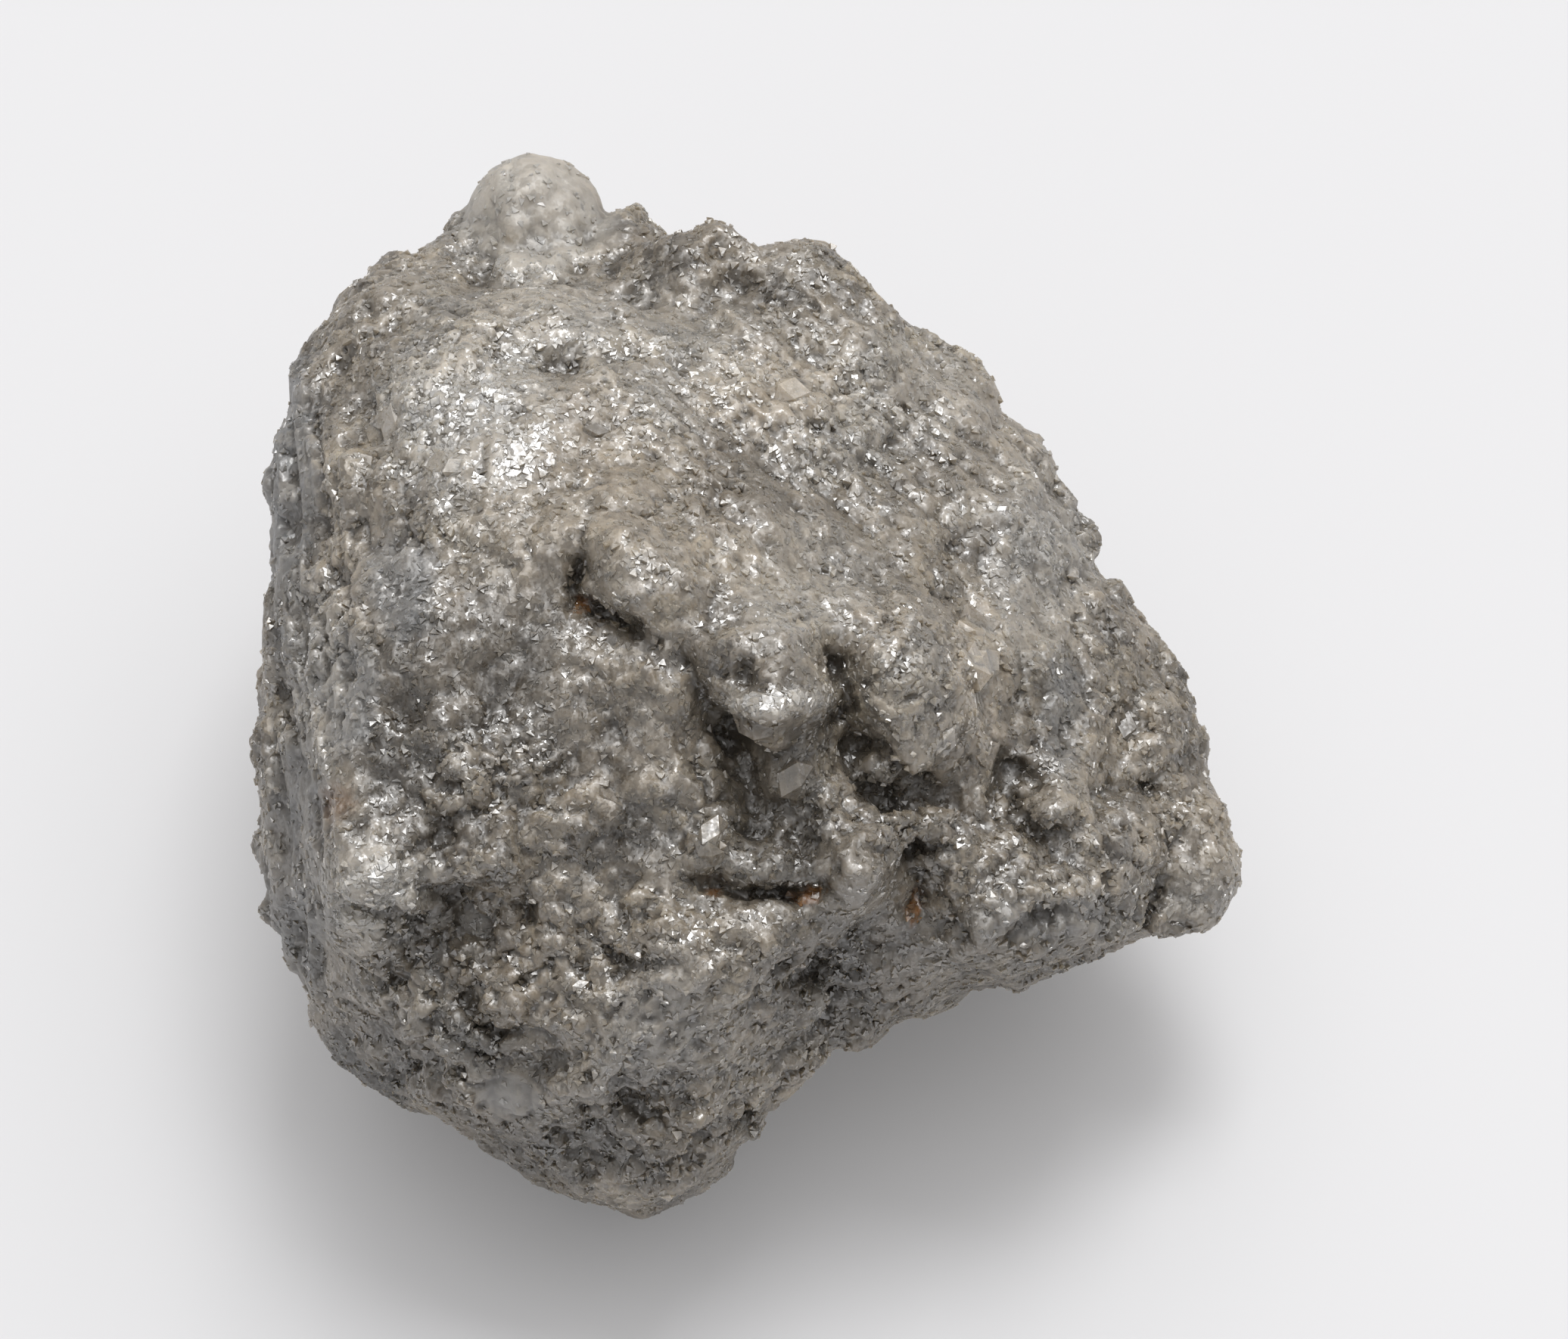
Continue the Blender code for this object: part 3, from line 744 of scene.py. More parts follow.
def on_shown_side(mesh, ovals, soft):
    """The strongest oval at each point of a mesh in millimetres, and nothing on the far side."""
    facing = np.clip(1 + 3 * read(mesh, "vertex_normals") @ NEAR, 0, 1)
    return facing * strongest(as_seen(read(mesh, "vertices")), ovals, soft)


points = read(skin.data, "vertices")
rough = 1 - on_shown_side(skin.data, SMOOTH.values(), 0.4)
rough *= 1 + on_shown_side(skin.data, RUGGED.values(), 0.6)
rough *= 0.75 + 0.4 * np.clip(1.5 * clouds(points, 2.0, 2), -1, 1)
rough *= 1 - 0.5 * turned_away(skin.data)
blocky = rough * (0.7 + 0.6 * np.clip(read(skin.data, "vertex_normals") @ NEAR, 0, 1))

# %% Lay lumps and crystals on the skin, from coarse to fine
def clear_places(points):
    """1 where the crystals grew large and clear, 0 where they are fine and dull."""
    return np.clip(0.5 + 1.8 * clouds(points + 9, 0.9, 2), 0, 1)


LAYERS = (  # the pattern, its size, and its depth where the crystals are fine and where they are large
    (crystals, 1.30, 0.28, 0.34),
    (crystals, 0.65, 0.20, 0.26),
    (lumps, 0.40, 0.11, 0.06),
    (crystals, 0.32, 0.13, 0.15),
    (crystals, 0.16, 0.08, 0.06),
)
for pattern, size, fine, large in LAYERS:
    points = read(skin.data, "vertices")
    drift = np.column_stack([clouds(points + 20 * axis, size, 2) for axis in range(3)])
    pushed = points + 0.25 * size * drift
    heights = pattern(pushed, size)
    depth = fine + (large - fine) * clear_places(points)
    raise_skin((blocky if size > 0.5 else rough) * depth * (heights - heights.mean()))
print("half of the skin is rougher than", round(float(np.median(rough)), 2))

# %% [markdown]
# ## Striae and recesses
#
# Striae go on last, so that they run across blocks and crystals alike. Then the recesses are found.
# Little light reaches the gaps between crystals, so they get painted shade later. A smoothed copy of the
# skin runs through the middle of its ups and downs, and a recess is where the skin lies below it.

# %% Striae
seen = as_seen(read(skin.data, "vertices"))
facing = np.clip(1 + 3 * read(skin.data, "vertex_normals") @ NEAR, 0, 1)
raise_skin(facing * np.sum([striae(seen, *place) for place in STRIATED.values()], axis=0))
modify(skin, "SMOOTH", factor=0.5, iterations=1)
print("skin with striae:", len(skin.data.vertices), "points")

# %% How deep each point lies in a recess
ridges = read(skin.data, "vertices")
outward = read(skin.data, "vertex_normals")
select_only(skin)
bpy.ops.object.duplicate()
melted = bpy.context.object
recess_shade = np.zeros(len(ridges))
for iterations, depth in ((60, 0.05), (260, 0.14)):
    modify(melted, "SMOOTH", factor=0.5, iterations=iterations)
    recess_shade = np.maximum(recess_shade, ((read(melted.data, "vertices") - ridges) * outward).sum(axis=1) / depth)
bpy.data.objects.remove(melted)
print(round(100 * float((recess_shade > 0.5).mean())), "% of the skin lies in a recess")

# %% [markdown]
# ## A lighter net
#
# The even net has far more squares than flat places need. Decimating takes points out where they matter
# least, so the closed skin stays one piece of a size that any program can load. It can leave a point a
# hair below the table, and `write` lifts that back. What is painted on the points is carried over, and
# all later paint is laid on the lighter net.

# %% Thin the net
MOST_TRIANGLES = 192000
skin.data.attributes.new("recess_shade", "FLOAT", "POINT").data.foreach_set("value", recess_shade.astype(np.float32))
before = 2 * len(skin.data.polygons)
modify(skin, "DECIMATE", ratio=MOST_TRIANGLES / before)
write(read(skin.data, "vertices"))
skin.data.calc_loop_triangles()
print("from", before, "to", len(skin.data.loop_triangles), "triangles")
recess_shade = np.empty(len(skin.data.vertices), np.float32)
skin.data.attributes["recess_shade"].data.foreach_get("value", recess_shade)
skin.data.attributes.remove(skin.data.attributes["recess_shade"])
smoothness = on_shown_side(skin.data, SMOOTH.values(), 0.4)
rugged = on_shown_side(skin.data, RUGGED.values(), 0.6)

# %% [markdown]
# ## Back to its real size
#
# The skin stands in for the solid, so it rides on the solid's body and is shown in its place. Smooth
# shading is right for the skin: its facets come from the sculpted net and from the material.

# %% Bring the skin back to its real size
skin.scale = (MM, MM, MM)
select_only(skin)
bpy.ops.object.transform_apply(location=False, rotation=False, scale=True)
bpy.ops.object.shade_smooth()
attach(skin, "root")
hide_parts("rough_diamond")
print("skin is", np.round(np.array(skin.dimensions) / MM, 1), "mm")


# %% [markdown]
# ## Three small helpers for materials
#
# A colour is picked by eye as an sRGB hex code, and a shader needs it linear. A pattern is thought of in
# millimetres, and a texture node needs how many cells fit in a metre. A node is added with all its
# settings and links in one line, so that a material can be read from top to bottom.

# %% Colours and nodes


def colour(code):
    """Linear values of an sRGB colour given as hex digits."""
    parts = [int(code[i : i + 2], 16) / 255 for i in (0, 2, 4)]
    return [c / 12.92 if c <= 0.04045 else ((c + 0.055) / 1.055) ** 2.4 for c in parts] + [1.0]


def per_mm(size):
    """The scale of a pattern whose cells are so many millimetres across."""
    return 1 / (size * MM)


def add(tree, kind, sockets=None, **settings):
    """Adds a node with its settings. A socket gets a value, or another node's output as a link."""
    made = tree.nodes.new(kind)
    for name, value in settings.items():
        setattr(made, name, value)
    for name, value in (sockets or {}).items():
        if isinstance(value, bpy.types.NodeSocket):
            tree.links.new(value, made.inputs[name])
        else:
            made.inputs[name].default_value = value
    return made


print("A0978B, a middle grey, is", np.round(colour("A0978B")[:3], 2), "to a shader")

# %% [markdown]
# ## Stains, tones, and painted light and shade
#
# What has a place on the stone but no relief is painted: each tone is an attribute, a number from 0 to 1
# on every point of the skin, and the material mixes its colours by it. Ovals say where a tone lies, and
# noise frays their edges. Beige crystals and rust, the iron that water left in the clefts, are the stone's
# own colours, and some dark and pale patches are too. The rest is painted light and shade: painted shade
# on the lower side, in the hollows, the notch and the recesses, painted light on the upper side and the
# nub, a painted highlight on raised forms and a painted blue-grey reflection on smooth faces.

# %% Paint
PAINT = {  # attribute: ovals of right, up, half width, half height, amount
    # Partly darker, translucent stone, and partly painted shade: the lower side, the hollows, the notch and
    # the band that faces the floor.
    "dark": (
        (-0.60, 2.50, 0.60, 0.50, 0.8), (-4.90, 0.50, 0.50, 0.90, 0.8), (-3.60, -0.50, 0.90, 0.50, 0.7),
        (-5.30, -0.70, 0.30, 0.90, 0.8), (-5.40, -1.30, 0.50, 0.40, 0.6),
        (-2.20, -2.20, 0.40, 0.40, 0.8), (0.10, -2.50, 0.90, 0.45, 0.6), (1.10, -3.60, 0.60, 0.55, 0.8),
        (-4.60, -3.50, 0.50, 0.40, 0.6), (-3.90, -4.60, 0.50, 0.40, 0.5),
        (-4.90, -5.20, 0.80, 0.50, 0.6), (-3.60, -6.20, 1.10, 0.40, 0.6),
        (3.10, -1.60, 0.30, 0.60, 0.5), (4.80, -1.80, 0.40, 0.30, 0.5), (2.00, 2.60, 0.60, 0.30, 0.4),
        (-2.60, -1.30, 0.60, 0.50, 0.4), (0.20, -2.30, 0.50, 0.40, 0.8), (0.80, -4.10, 0.70, 0.60, 1.0),
        (-4.70, -5.10, 1.20, 0.55, 1.0), (-2.60, -6.30, 1.20, 0.40, 0.6),
        (-3.80, -4.50, 0.90, 0.60, 0.7), (3.40, -3.50, 1.20, 0.35, 0.6), (0.30, -2.40, 0.80, 0.50, 1.0),
        (1.50, -1.90, 0.80, 0.45, 0.5), (-5.00, -4.40, 0.60, 0.50, 0.6), (-4.40, 0.10, 0.90, 0.60, 0.8),
        (-6.40, -2.80, 0.40, 1.40, 0.7), (-6.60, 0.60, 0.30, 0.50, 0.5),
        (-2.20, -5.30, 1.20, 0.80, 0.35), (-0.70, -1.40, 0.50, 0.50, 0.5),
        (1.60, -2.60, 0.40, 0.30, 0.6), (-5.70, 4.60, 0.50, 0.40, 0.4), (3.30, -0.50, 0.50, 0.50, 0.4),
    ),
    # Mostly painted shade: the lowest band that faces the floor, the hollows and the notch, with a few dark
    # patches of the stone.
    "shade_and_dark_patches": (
        (-4.90, -5.20, 1.30, 0.45, 0.9), (-3.20, -6.30, 1.20, 0.30, 0.6),
        (0.25, -2.40, 0.70, 0.40, 0.8), (0.80, -4.05, 0.70, 0.55, 0.8), (-2.10, -2.25, 0.45, 0.40, 0.6),
        (-4.50, -3.60, 0.45, 0.35, 0.5), (-5.00, 0.40, 0.45, 0.90, 0.6),
        (-4.00, 0.00, 0.80, 0.60, 0.55), (-5.20, -1.10, 0.35, 0.60, 0.5),
        (1.55, -2.10, 0.50, 0.30, 0.3), (-6.40, -1.60, 0.25, 0.40, 0.6), (-6.60, 0.90, 0.20, 0.50, 0.5),
        (-6.30, -3.60, 0.30, 0.50, 0.6), (-0.75, 2.40, 0.35, 0.30, 0.5), (4.70, -1.70, 0.40, 0.20, 0.4),
        (3.20, -3.75, 1.00, 0.25, 0.4), (-3.70, -4.70, 0.50, 0.30, 0.4),
    ),
    # Partly paler stone, and partly painted light: the upper side and the nub, which face the light, are
    # painted lighter.
    "pale": (
        (-3.35, 6.00, 0.75, 0.75, 1.0), (-4.10, 3.40, 0.90, 0.80, 0.8), (-3.10, 4.60, 0.80, 0.40, 0.6),
        (-1.50, 4.10, 1.00, 0.80, 0.5), (1.20, 3.60, 1.20, 0.70, 0.5), (0.10, 1.20, 0.90, 0.60, 0.4),
        (-0.20, -0.45, 0.60, 0.12, 0.6), (-5.40, -2.95, 0.60, 0.50, 0.9),
        (-6.20, -0.30, 0.30, 1.20, 0.6), (3.40, 1.20, 0.60, 0.80, 0.5), (0.00, 2.90, 0.60, 0.50, 0.5),
        (-4.60, 4.60, 0.60, 0.50, 0.3), (2.60, 2.60, 0.80, 0.60, 0.3),
    ),
    "beige": (
        (-2.60, 3.10, 0.70, 0.60, 0.7), (-1.40, 2.00, 0.90, 0.90, 0.5), (-0.30, 3.70, 0.80, 0.40, 0.8),
        (-3.00, 2.10, 0.90, 0.50, 0.5), (2.60, 0.00, 0.30, 0.90, 0.8), (1.20, 0.60, 0.40, 0.30, 0.5),
        (4.60, -0.80, 0.30, 0.30, 0.8), (-2.50, -1.65, 0.30, 0.30, 0.7),
        (-3.30, -4.10, 0.80, 0.40, 0.5), (5.50, -2.20, 0.60, 0.60, 0.5),
        (-1.20, -3.60, 0.70, 0.40, 0.4), (-0.80, 1.60, 0.50, 0.50, 0.6), (-2.40, 0.20, 0.70, 0.50, 0.3),
        (-5.60, 1.20, 0.60, 0.60, 0.5), (3.00, 3.00, 0.80, 0.90, 0.3),
    ),
    "rust": (
        (-2.68, 0.88, 0.08, 0.06, 1.0), (0.30, -2.98, 0.18, 0.05, 1.0), (-0.98, -2.96, 0.08, 0.04, 0.7),
        (1.72, -3.08, 0.07, 0.09, 1.0), (-5.90, -1.80, 0.14, 0.20, 0.3),
    ),
    "bright": (
        (-4.30, 3.40, 1.10, 0.90, 0.9), (-3.20, 4.60, 0.70, 0.50, 0.5), (-5.50, -2.85, 0.55, 0.50, 1.0),
        (-0.10, -0.40, 0.70, 0.16, 0.9), (0.10, 0.80, 0.60, 0.30, 0.6), (1.70, 0.20, 0.80, 0.60, 0.5),
        (0.00, -1.55, 0.25, 0.10, 0.9), (-2.50, -4.20, 0.40, 0.20, 0.8), (3.60, -1.50, 0.30, 0.25, 0.7),
        (2.90, 1.20, 0.80, 1.00, 0.4), (0.20, 2.90, 0.60, 0.50, 0.5), (-5.40, -3.30, 0.40, 0.35, 0.6),
        (-4.40, -1.20, 0.50, 0.35, 0.4), (-0.50, -2.05, 0.40, 0.10, 0.8),
        (-1.50, 4.00, 0.90, 0.60, 0.6), (1.20, 3.20, 1.00, 0.70, 0.45), (-1.80, -3.70, 0.90, 0.50, 0.5),
        (-3.20, -0.90, 0.80, 0.60, 0.35), (0.60, -1.40, 0.70, 0.50, 0.45),
        (-4.40, 5.00, 0.70, 0.50, 0.35), (2.40, -2.40, 0.80, 0.50, 0.35),
        (-3.60, -4.60, 0.80, 0.50, 0.35), (4.80, -2.20, 0.60, 0.50, 0.3),
        (-5.60, 1.50, 0.40, 1.20, 0.4),
    ),
    # Painted reflection: the blue-grey that smooth faces on the flank and the crests show when they mirror
    # the room.
    "painted_sheen": (
        (-6.60, 2.60, 0.35, 1.20, 0.7), (-6.40, 0.40, 0.35, 0.80, 0.4), (-5.80, -0.30, 0.30, 0.60, 0.7),
        (-5.05, 1.10, 0.35, 0.50, 0.7), (-6.50, -2.60, 0.35, 1.50, 0.4),
        (-1.60, -4.60, 0.40, 0.60, 0.3), (-2.10, -5.10, 0.30, 0.50, 0.3),
        (-3.60, -5.65, 0.30, 0.18, 0.6), (3.70, -0.60, 0.20, 0.60, 0.5), (3.50, 1.80, 0.50, 0.90, 0.3),
        (3.60, -3.30, 0.90, 0.20, 0.4), (5.40, -3.00, 0.50, 0.25, 0.4),
    ),
}
# Painted shade: the stone is painted darker towards the table, on the lower side that gets little light.
FOOT_SHADE_HEIGHT = 2.6  # millimetres above the table, up to which the stone is darker
mesh = skin.data
points = read(mesh, "vertices") / MM
seen = as_seen(points)
facing = np.clip(4 * read(mesh, "vertex_normals") @ NEAR + 0.8, 0, 1)
pushed = pushed_about(points, ((0.6, 0.12), (0.15, 0.06)))
painted = {}
for name, ovals in PAINT.items():
    painted[name] = facing * strongest(pushed, ovals, 0.7)
painted["smooth"] = smoothness
painted["clear"] = clear_places(points)
painted["beige"] = np.maximum(painted["beige"], 0.35 * painted["clear"])
# painted shade, darker towards the table
painted["dark"] = np.maximum(painted["dark"], 0.75 * np.clip(1 - points[:, 2] / FOOT_SHADE_HEIGHT, 0, 1))
heights, cuts = forms(points)
# Painted shade: the skin is painted darker below lips, in grooves and in recesses, where little light falls.
shade_in_forms = facing * np.clip(-(0.6 * heights + 1.2 * cuts) / 0.24, 0, 1)
painted["recess_shade"] = np.clip(recess_shade * (1 + 0.7 * rugged) + shade_in_forms, 0, 1)
# Painted highlight: raised forms are painted lighter, where they would catch the light.
painted["ridge"] = np.clip(facing * np.clip(heights / 0.35, 0, 1) - recess_shade, 0, 1)
for name, amount in painted.items():
    mesh.attributes.new(name, "FLOAT", "POINT").data.foreach_set("value", amount.astype(np.float32))
    print(name, "covers", round(100 * float((amount > 0.4).mean()), 1), "% of the skin")

# %% [markdown]
# ## The material: boart
#
# Diamond bends light more than almost any other mineral, so its index is 2.417 and even rough faces
# glint. Boart is grey because light is lost between its crystals, and a little comes back out beside
# where it went in, which is subsurface scattering. Faces have no one colour: a warm grey with darker and
# beige places.

# %% Boart, as grown
# The grey of the lumps is drawn from patches of 1.7 mm down to grains of 0.13 mm, the size of most crystals.
# The finest sparkle is drawn 0.04 mm across: many real faces are under a tenth of that, too fine to show.


def facet_normal(tree, pattern, normal, lean, share):
    """Leans the normal of each cell of a pattern its own way, by a share of the lean."""
    kind, middle = "ShaderNodeVectorMath", (0.5, 0.5, 0.5)
    centred = add(tree, kind, {0: pattern.outputs["Color"], 1: middle}, operation="SUBTRACT")
    scaled = add(tree, kind, {0: centred.outputs["Vector"], "Scale": lean}, operation="SCALE")
    shared = add(tree, kind, {0: scaled.outputs["Vector"], "Scale": share}, operation="SCALE")
    leaned = add(tree, kind, {0: normal, 1: shared.outputs["Vector"]}, operation="ADD")
    return add(tree, kind, {0: leaned.outputs["Vector"]}, operation="NORMALIZE").outputs["Vector"]


def boart(name, grown_faces, uneven=1.0):
    """The stone's material. Grown crystals have real faces, so they need less of the leans."""
    material = bpy.data.materials.new(name)
    material.use_nodes = True
    tree = material.node_tree
    tree.nodes.clear()
    place = add(tree, "ShaderNodeTexCoord").outputs["Object"]
    along = add(
        tree,
        "ShaderNodeMapping",
        {"Vector": place, "Rotation": (math.pi / 2 - ELEVATION, 0, 0), "Scale": (1, 7, 1)},
        vector_type="TEXTURE",
    ).outputs["Vector"]
    patches = add(
        tree,
        "ShaderNodeTexNoise",
        {"Vector": place, "Scale": per_mm(1.7), "Detail": 5.0, "Roughness": 0.62},
    )
    crumple = add(
        tree,
        "ShaderNodeTexNoise",
        {"Vector": place, "Scale": per_mm(0.20), "Detail": 3.0, "Roughness": 0.7},
    )
    streaks = add(
        tree,
        "ShaderNodeTexNoise",
        {"Vector": along, "Scale": per_mm(0.09), "Detail": 2.0, "Roughness": 0.6},
    )
    sockets = {0: crumple.outputs["Color"], "Scale": 0.25 * MM}
    shift = add(tree, "ShaderNodeVectorMath", sockets, operation="SCALE")
    bent = add(tree, "ShaderNodeVectorMath", {0: place, 1: shift.outputs["Vector"]}).outputs["Vector"]
    lumps_in = add(tree, "ShaderNodeTexVoronoi", {"Vector": bent, "Scale": per_mm(0.42)})
    grain = add(tree, "ShaderNodeTexVoronoi", {"Vector": bent, "Scale": per_mm(0.13)})
    dust = add(tree, "ShaderNodeTexVoronoi", {"Vector": place, "Scale": per_mm(0.04)})

    base = add(tree, "ShaderNodeValToRGB", {"Fac": patches.outputs["Fac"]})
    for position, code in ((0.5, "A0978B"), (0.62, "AFA596")):
        base.color_ramp.elements.new(position).color = colour(code)
    base.color_ramp.elements[0].position, base.color_ramp.elements[0].color = 0.34, colour("877E73")
    base.color_ramp.elements[-1].position, base.color_ramp.elements[-1].color = 0.74, colour("BAAF9E")
    base = base.outputs["Color"]
    for pattern, dark, pale in ((lumps_in, "B4B2B0", "FFFCF4"), (grain, "B4B2B0", "FFFDF8")):
        split = add(tree, "ShaderNodeSeparateColor", {"Color": pattern.outputs["Color"]})
        tones = add(tree, "ShaderNodeValToRGB", {"Fac": split.outputs["Red"]})
        tones.color_ramp.elements[0].color = colour(dark)
        tones.color_ramp.elements[1].color = colour(pale)
        sockets = {0: 1.0, 6: base, 7: tones.outputs["Color"]}
        base = add(tree, "ShaderNodeMix", sockets, data_type="RGBA", blend_type="MULTIPLY").outputs[2]
    for attribute, most, code in (
        # paler stone, and painted light on the upper side and the nub
        ("pale", 0.60, "D2CCC2"),
        # darker stone, and painted shade on the lower side and in the hollows
        ("dark", 0.80, "463C2E"),
        # mostly painted shade, with a few dark patches of the stone
        ("shade_and_dark_patches", 0.75, "2C2822"),
        ("beige", 0.62, "C3B49F"),
        # painted reflection on smooth faces
        ("painted_sheen", 0.65, "868A8F"),
        # painted highlight on raised forms
        ("ridge", 0.30, "D0C8BC"),
        # painted shade in recesses, grooves and under lips
        ("recess_shade", 0.80, "3A3124"),
        ("rust", 1.0, "8C5A1C"),
    ):
        amount = add(tree, "ShaderNodeAttribute", attribute_name=attribute).outputs["Fac"]
        amount = add(tree, "ShaderNodeMath", {0: amount, 1: most}, operation="MULTIPLY").outputs["Value"]
        base = add(tree, "ShaderNodeMix", {0: amount, 6: base, 7: colour(code)}, data_type="RGBA").outputs[2]

    normal = add(tree, "ShaderNodeNewGeometry").outputs["Normal"]
    smooth = add(tree, "ShaderNodeAttribute", attribute_name="smooth").outputs["Fac"]
    clear = add(tree, "ShaderNodeAttribute", attribute_name="clear").outputs["Fac"]
    even = add(tree, "ShaderNodeMath", {0: smooth, 1: -0.6 * uneven, 2: uneven}, operation="MULTIPLY_ADD")
    sockets = {0: clear, 1: -0.15 * uneven, 2: even.outputs["Value"]}
    even = add(tree, "ShaderNodeMath", sockets, operation="MULTIPLY_ADD")
    even = add(tree, "ShaderNodeMath", {0: even.outputs["Value"], 1: 0.2 * uneven}, operation="MAXIMUM")
    even = even.outputs["Value"]
    normal = facet_normal(tree, crumple, normal, 0.9, even)
    normal = facet_normal(tree, streaks, normal, 0.7, even)
    if not grown_faces:
        normal = facet_normal(tree, grain, normal, 0.5, even)
    normal = facet_normal(tree, dust, normal, 0.3, even)
    split = add(tree, "ShaderNodeSeparateColor", {"Color": dust.outputs["Color"]})
    dullness = add(tree, "ShaderNodeMath", {0: split.outputs["Green"], 1: smooth}, operation="MAXIMUM")
    least, most = 0.10 + 0.10 * uneven, 0.15 + 0.40 * uneven
    glossy = add(
        tree,
        "ShaderNodeMapRange",
        {"Value": dullness.outputs["Value"], "From Max": 0.6, "To Min": least, "To Max": most},
    )
    surface = add(
        tree,
        "ShaderNodeBsdfPrincipled",
        {
            "Base Color": base,
            "Roughness": glossy.outputs["Result"],
            "IOR": 2.417,
            "Specular IOR Level": 0.6 if grown_faces else 0.5,
            "Normal": normal,
            "Subsurface Weight": 0.6,
            "Subsurface Scale": 0.25 * MM,
            "Subsurface Radius": (1.0, 0.88, 0.70),
        },
    )
    add(tree, "ShaderNodeOutputMaterial", {"Surface": surface.outputs["BSDF"]})
    return material


# Grown skin: fine crystals that all lean their own way, which gives the eye a dull satin grey with glints.
boart_skin = boart("boart, as grown", False)
# Crystals in the skin: real faces and fewer leans, which give the eye small facets, each bright or dark.
boart_crystals = boart("boart crystals, as grown", True, 0.6)
# The cleanest crystals: nearly flat, glossy faces, which give the few white sparks.
clean_crystals = boart("boart crystals, clean flat faces", True, 0.4)
skin.data.materials.clear()
skin.data.materials.append(boart_skin)
print("materials:", boart_skin.name, "|", boart_crystals.name, "|", clean_crystals.name)

# %% [markdown]
# ## Real little crystals
#
# Diamond grows as octahedra, and as cubes with cut corners. One of each is modelled and copied many
# thousands of times, each time with its own size, stretch and turn, and pressed into the skin until only
# its upper faces show. The faces are shaded flat: each shines as a whole, as a cut stone does.

# %% Read a crystal's corners and triangles


def faces_of(mesh):
    """The three corners of each triangle of a mesh, as numbers of its points."""
    mesh.calc_loop_triangles()
    corners = np.empty(len(mesh.loop_triangles) * 3, np.int32)
    mesh.loop_triangles.foreach_get("vertices", corners)
    return corners.reshape(-1, 3)


# %% An octahedron that lies on a face
bpy.ops.object.select_all(action="DESELECT")
bpy.ops.mesh.primitive_cone_add(
    vertices=4, radius1=1, radius2=0, depth=1, end_fill_type="NOTHING", location=(0, 0, 0.5)
)
crystal = bpy.context.object
bpy.ops.object.mode_set(mode="EDIT")
bpy.ops.mesh.select_all(action="SELECT")
bpy.ops.mesh.symmetrize(direction="POSITIVE_Z")
bpy.ops.mesh.normals_make_consistent(inside=False)
bpy.ops.object.mode_set(mode="OBJECT")
bpy.ops.object.transform_apply(location=True, rotation=True, scale=True)
corners, faces = read(crystal.data, "vertices"), faces_of(crystal.data)
face = corners[faces[0]]
upright = Vector(np.cross(face[1] - face[0], face[2] - face[0]))
OCTAHEDRON = (corners @ np.array(upright.rotation_difference(Vector((0, 0, 1))).to_matrix()).T, faces)
bpy.ops.object.delete()
print("octahedron:", len(corners), "points,", len(faces), "triangles")

# %% A cube with its corners cut to the middles of its edges
bpy.ops.object.select_all(action="DESELECT")
bpy.ops.mesh.primitive_cube_add(size=1.6)
crystal = bpy.context.object
bpy.ops.object.mode_set(mode="EDIT")
bpy.ops.mesh.select_all(action="SELECT")
bpy.ops.mesh.bevel(offset_type="PERCENT", offset_pct=50, affect="VERTICES")
bpy.ops.mesh.remove_doubles(threshold=0.01)
bpy.ops.mesh.normals_make_consistent(inside=False)
bpy.ops.object.mode_set(mode="OBJECT")
CUT_CUBE = (read(crystal.data, "vertices"), faces_of(crystal.data))
bpy.ops.object.delete()
print("cut cube:", len(CUT_CUBE[0]), "points,", len(CUT_CUBE[1]), "triangles")

# %% Directions without the small ups and downs


def evened(mesh, values, rounds):
    """Averages directions with those of the neighbours along the edges of a mesh."""
    ends = np.empty(len(mesh.edges) * 2, np.int32)
    mesh.edges.foreach_get("vertices", ends)
    one, other = ends.reshape(-1, 2).T
    for _ in range(rounds):
        total = values.copy()
        np.add.at(total, one, values[other])
        np.add.at(total, other, values[one])
        values = total / np.linalg.norm(total, axis=1, keepdims=True)
    return values


even_normals = evened(mesh, read(mesh, "vertex_normals"), 6)
print("evened the directions of", len(even_normals), "points")

# %% Lay copies of a crystal on the skin
LONG = np.array([1.5, 1.0, 1.2])  # few crystals are as wide as they are long
OFF_THE_TABLE = 0.01  # the millimetres that each crystal keeps from the table


